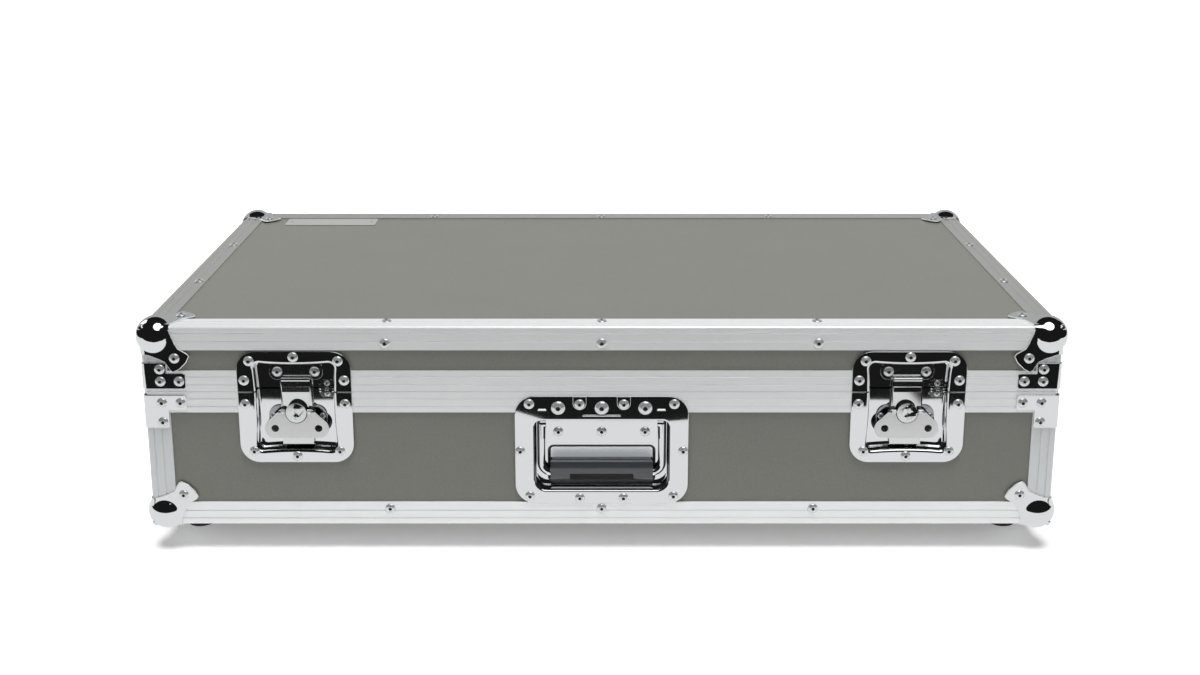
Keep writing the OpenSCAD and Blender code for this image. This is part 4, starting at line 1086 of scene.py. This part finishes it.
def upright(start, end, low, high):
    """Corners of an upright rectangle over the line between two points of the plan."""
    return [(*start, low), (*end, low), (*end, high), (*start, high)]


def card(name, points, grey):
    """Flat card of even brightness that only reflections show."""
    material, tree, shader = new_material(name)
    tree.nodes.clear()
    light = add_node(tree, "ShaderNodeEmission", {"Color": (grey, grey, grey, 1.0)})
    add_node(tree, "ShaderNodeOutputMaterial", {"Surface": light.outputs[0]})
    made = sheet(name, points, material)
    for ray in ("camera", "diffuse", "shadow", "transmission"):
        setattr(made, "visible_" + ray, False)


def white_floor(studio):
    """Pale floor that shows a little light of its own to the camera."""
    material, tree, shader = new_material("floor")
    camera_ray = add_node(tree, "ShaderNodeLightPath").outputs["Is Camera Ray"]
    lift = math_node(tree, "MULTIPLY", camera_ray, studio.floor_lift)
    feed(tree, shader, {"Base Color": (*(studio.floor_grey,) * 3, 1.0), "Roughness": 0.9,
                        "Specular IOR Level": 0.0, "Emission Color": WHITE,
                        "Emission Strength": lift})
    r = FLOOR_REACH
    floor = sheet("floor", [(-r, -r, 0), (r, -r, 0), (r, r, 0), (-r, r, 0)], material)
    floor.visible_glossy = False


def lamp(name, kind, power):
    """Soft light that reflections don't show."""
    data = bpy.data.lights.new(name, kind)
    data.energy = power
    made = placed(name, data)
    made.visible_glossy = False
    return made


def lights(studio):
    """Wide light above and a fill light from the front right."""
    top = lamp("top_light", "SUN", studio.sun_power)
    top.data.angle = studio.sun_spread
    top.rotation_euler = (studio.sun_tilt, 0, 0)
    front = lamp("front_light", "AREA", studio.front_power)
    front.data.shape = "RECTANGLE"
    front.data.size, front.data.size_y = FRONT_LIGHT_SIZE
    front.location = FRONT_LIGHT_PLACE
    front.rotation_euler = (FRONT_LIGHT_AIM - FRONT_LIGHT_PLACE).to_track_quat("-Z", "Y").to_euler()


def reflected_cards():
    """Table, soft box, side strip and backdrop that the plated steel mirrors."""
    table = [(x, y, 0) for x, y in TABLE_EDGE]
    table += [(table[-1][0], TABLE_BACK, 0), (table[0][0], TABLE_BACK, 0)]
    card("white_table", table, TABLE_GREY)
    card("soft_box", [(x, y, SOFT_BOX_HEIGHT + SOFT_BOX_SLOPE * (y - SOFT_BOX[1]))
                      for x, y in circle(*SOFT_BOX)], SOFT_BOX_GREY)
    card("side_strip", upright(*STRIP), STRIP_GREY)
    card("backdrop", upright(*BACKDROP), BACKDROP_GREY)


def room(scene, studio):
    """World that is white to the camera, dark in reflections and dim as soft light."""
    world = bpy.data.worlds.new("studio")
    scene.world = world
    world.use_nodes = True
    tree = world.node_tree
    rays = add_node(tree, "ShaderNodeLightPath").outputs
    grey = math_node(tree, "MULTIPLY", rays["Is Glossy Ray"], studio.mirror_grey - studio.ambient)
    soft = math_node(tree, "ADD", grey, studio.ambient)
    feed(tree, tree.nodes["Background"], {
        "Color": WHITE, "Strength": math_node(tree, "MAXIMUM", soft, rays["Is Camera Ray"])})


def front_camera(scene, studio):
    """Camera at the photograph's viewing angle."""
    data = bpy.data.cameras.new("camera")
    data.lens = studio.lens
    data.shift_y = CAMERA_SHIFT
    made = placed("camera", data)
    made.location = (CAMERA_X, -studio.camera_distance, studio.camera_height)
    made.rotation_euler = (math.pi / 2 - studio.camera_tilt, 0, 0)
    scene.camera = made


class FLIGHTCASE_OT_studio(bpy.types.Operator):
    """White floor and background, soft lights, reflected cards and the camera"""

    bl_idname = "flightcase.studio"
    bl_label = "Studio"

    def execute(self, context):
        scene = context.scene
        studio = scene.flightcase_studio
        scene.view_settings.view_transform = "Standard"
        white_floor(studio)
        lights(studio)
        reflected_cards()
        room(scene, studio)
        front_camera(scene, studio)
        return {"FINISHED"}


class FLIGHTCASE_PT_panel(bpy.types.Panel):
    """Lists the settings and the operators"""

    bl_idname = "FLIGHTCASE_PT_panel"
    bl_label = "Flight case"
    bl_space_type = "VIEW_3D"
    bl_region_type = "UI"
    bl_category = "Flight case"

    def draw(self, context):
        for group in SETTINGS:
            box = self.layout.box()
            values = getattr(context.scene, group)
            for key in values.__annotations__:
                box.prop(values, key)
        for operator in OPERATORS:
            self.layout.operator(operator.bl_idname)


SETTINGS = {
    "flightcase_case": FlightcaseCase,
    "flightcase_latch": FlightcaseLatch,
    "flightcase_handle": FlightcaseHandle,
    "flightcase_finish": FlightcaseFinish,
    "flightcase_studio": FlightcaseStudio,
}
OPERATORS = (FLIGHTCASE_OT_materials, FLIGHTCASE_OT_latch_dishes, FLIGHTCASE_OT_handle_dish,
             FLIGHTCASE_OT_hardware, FLIGHTCASE_OT_rivets, FLIGHTCASE_OT_badge, FLIGHTCASE_OT_foam,
             FLIGHTCASE_OT_studio)
CLASSES = (*SETTINGS.values(), *OPERATORS, FLIGHTCASE_PT_panel)


def register():
    for entry in CLASSES:
        bpy.utils.register_class(entry)
    for key, group in SETTINGS.items():
        setattr(bpy.types.Scene, key, PointerProperty(type=group))


def unregister():
    for key in SETTINGS:
        delattr(bpy.types.Scene, key)
    for entry in reversed(CLASSES):
        bpy.utils.unregister_class(entry)


def main():
    register()
    bpy.ops.flightcase.materials()
    bpy.ops.flightcase.latch_dishes()
    bpy.ops.flightcase.handle_dish()
    bpy.ops.flightcase.hardware()
    bpy.ops.flightcase.rivets()
    bpy.ops.flightcase.badge()
    bpy.ops.flightcase.foam()
    bpy.ops.flightcase.studio()


if __name__ == "__main__":
    main()
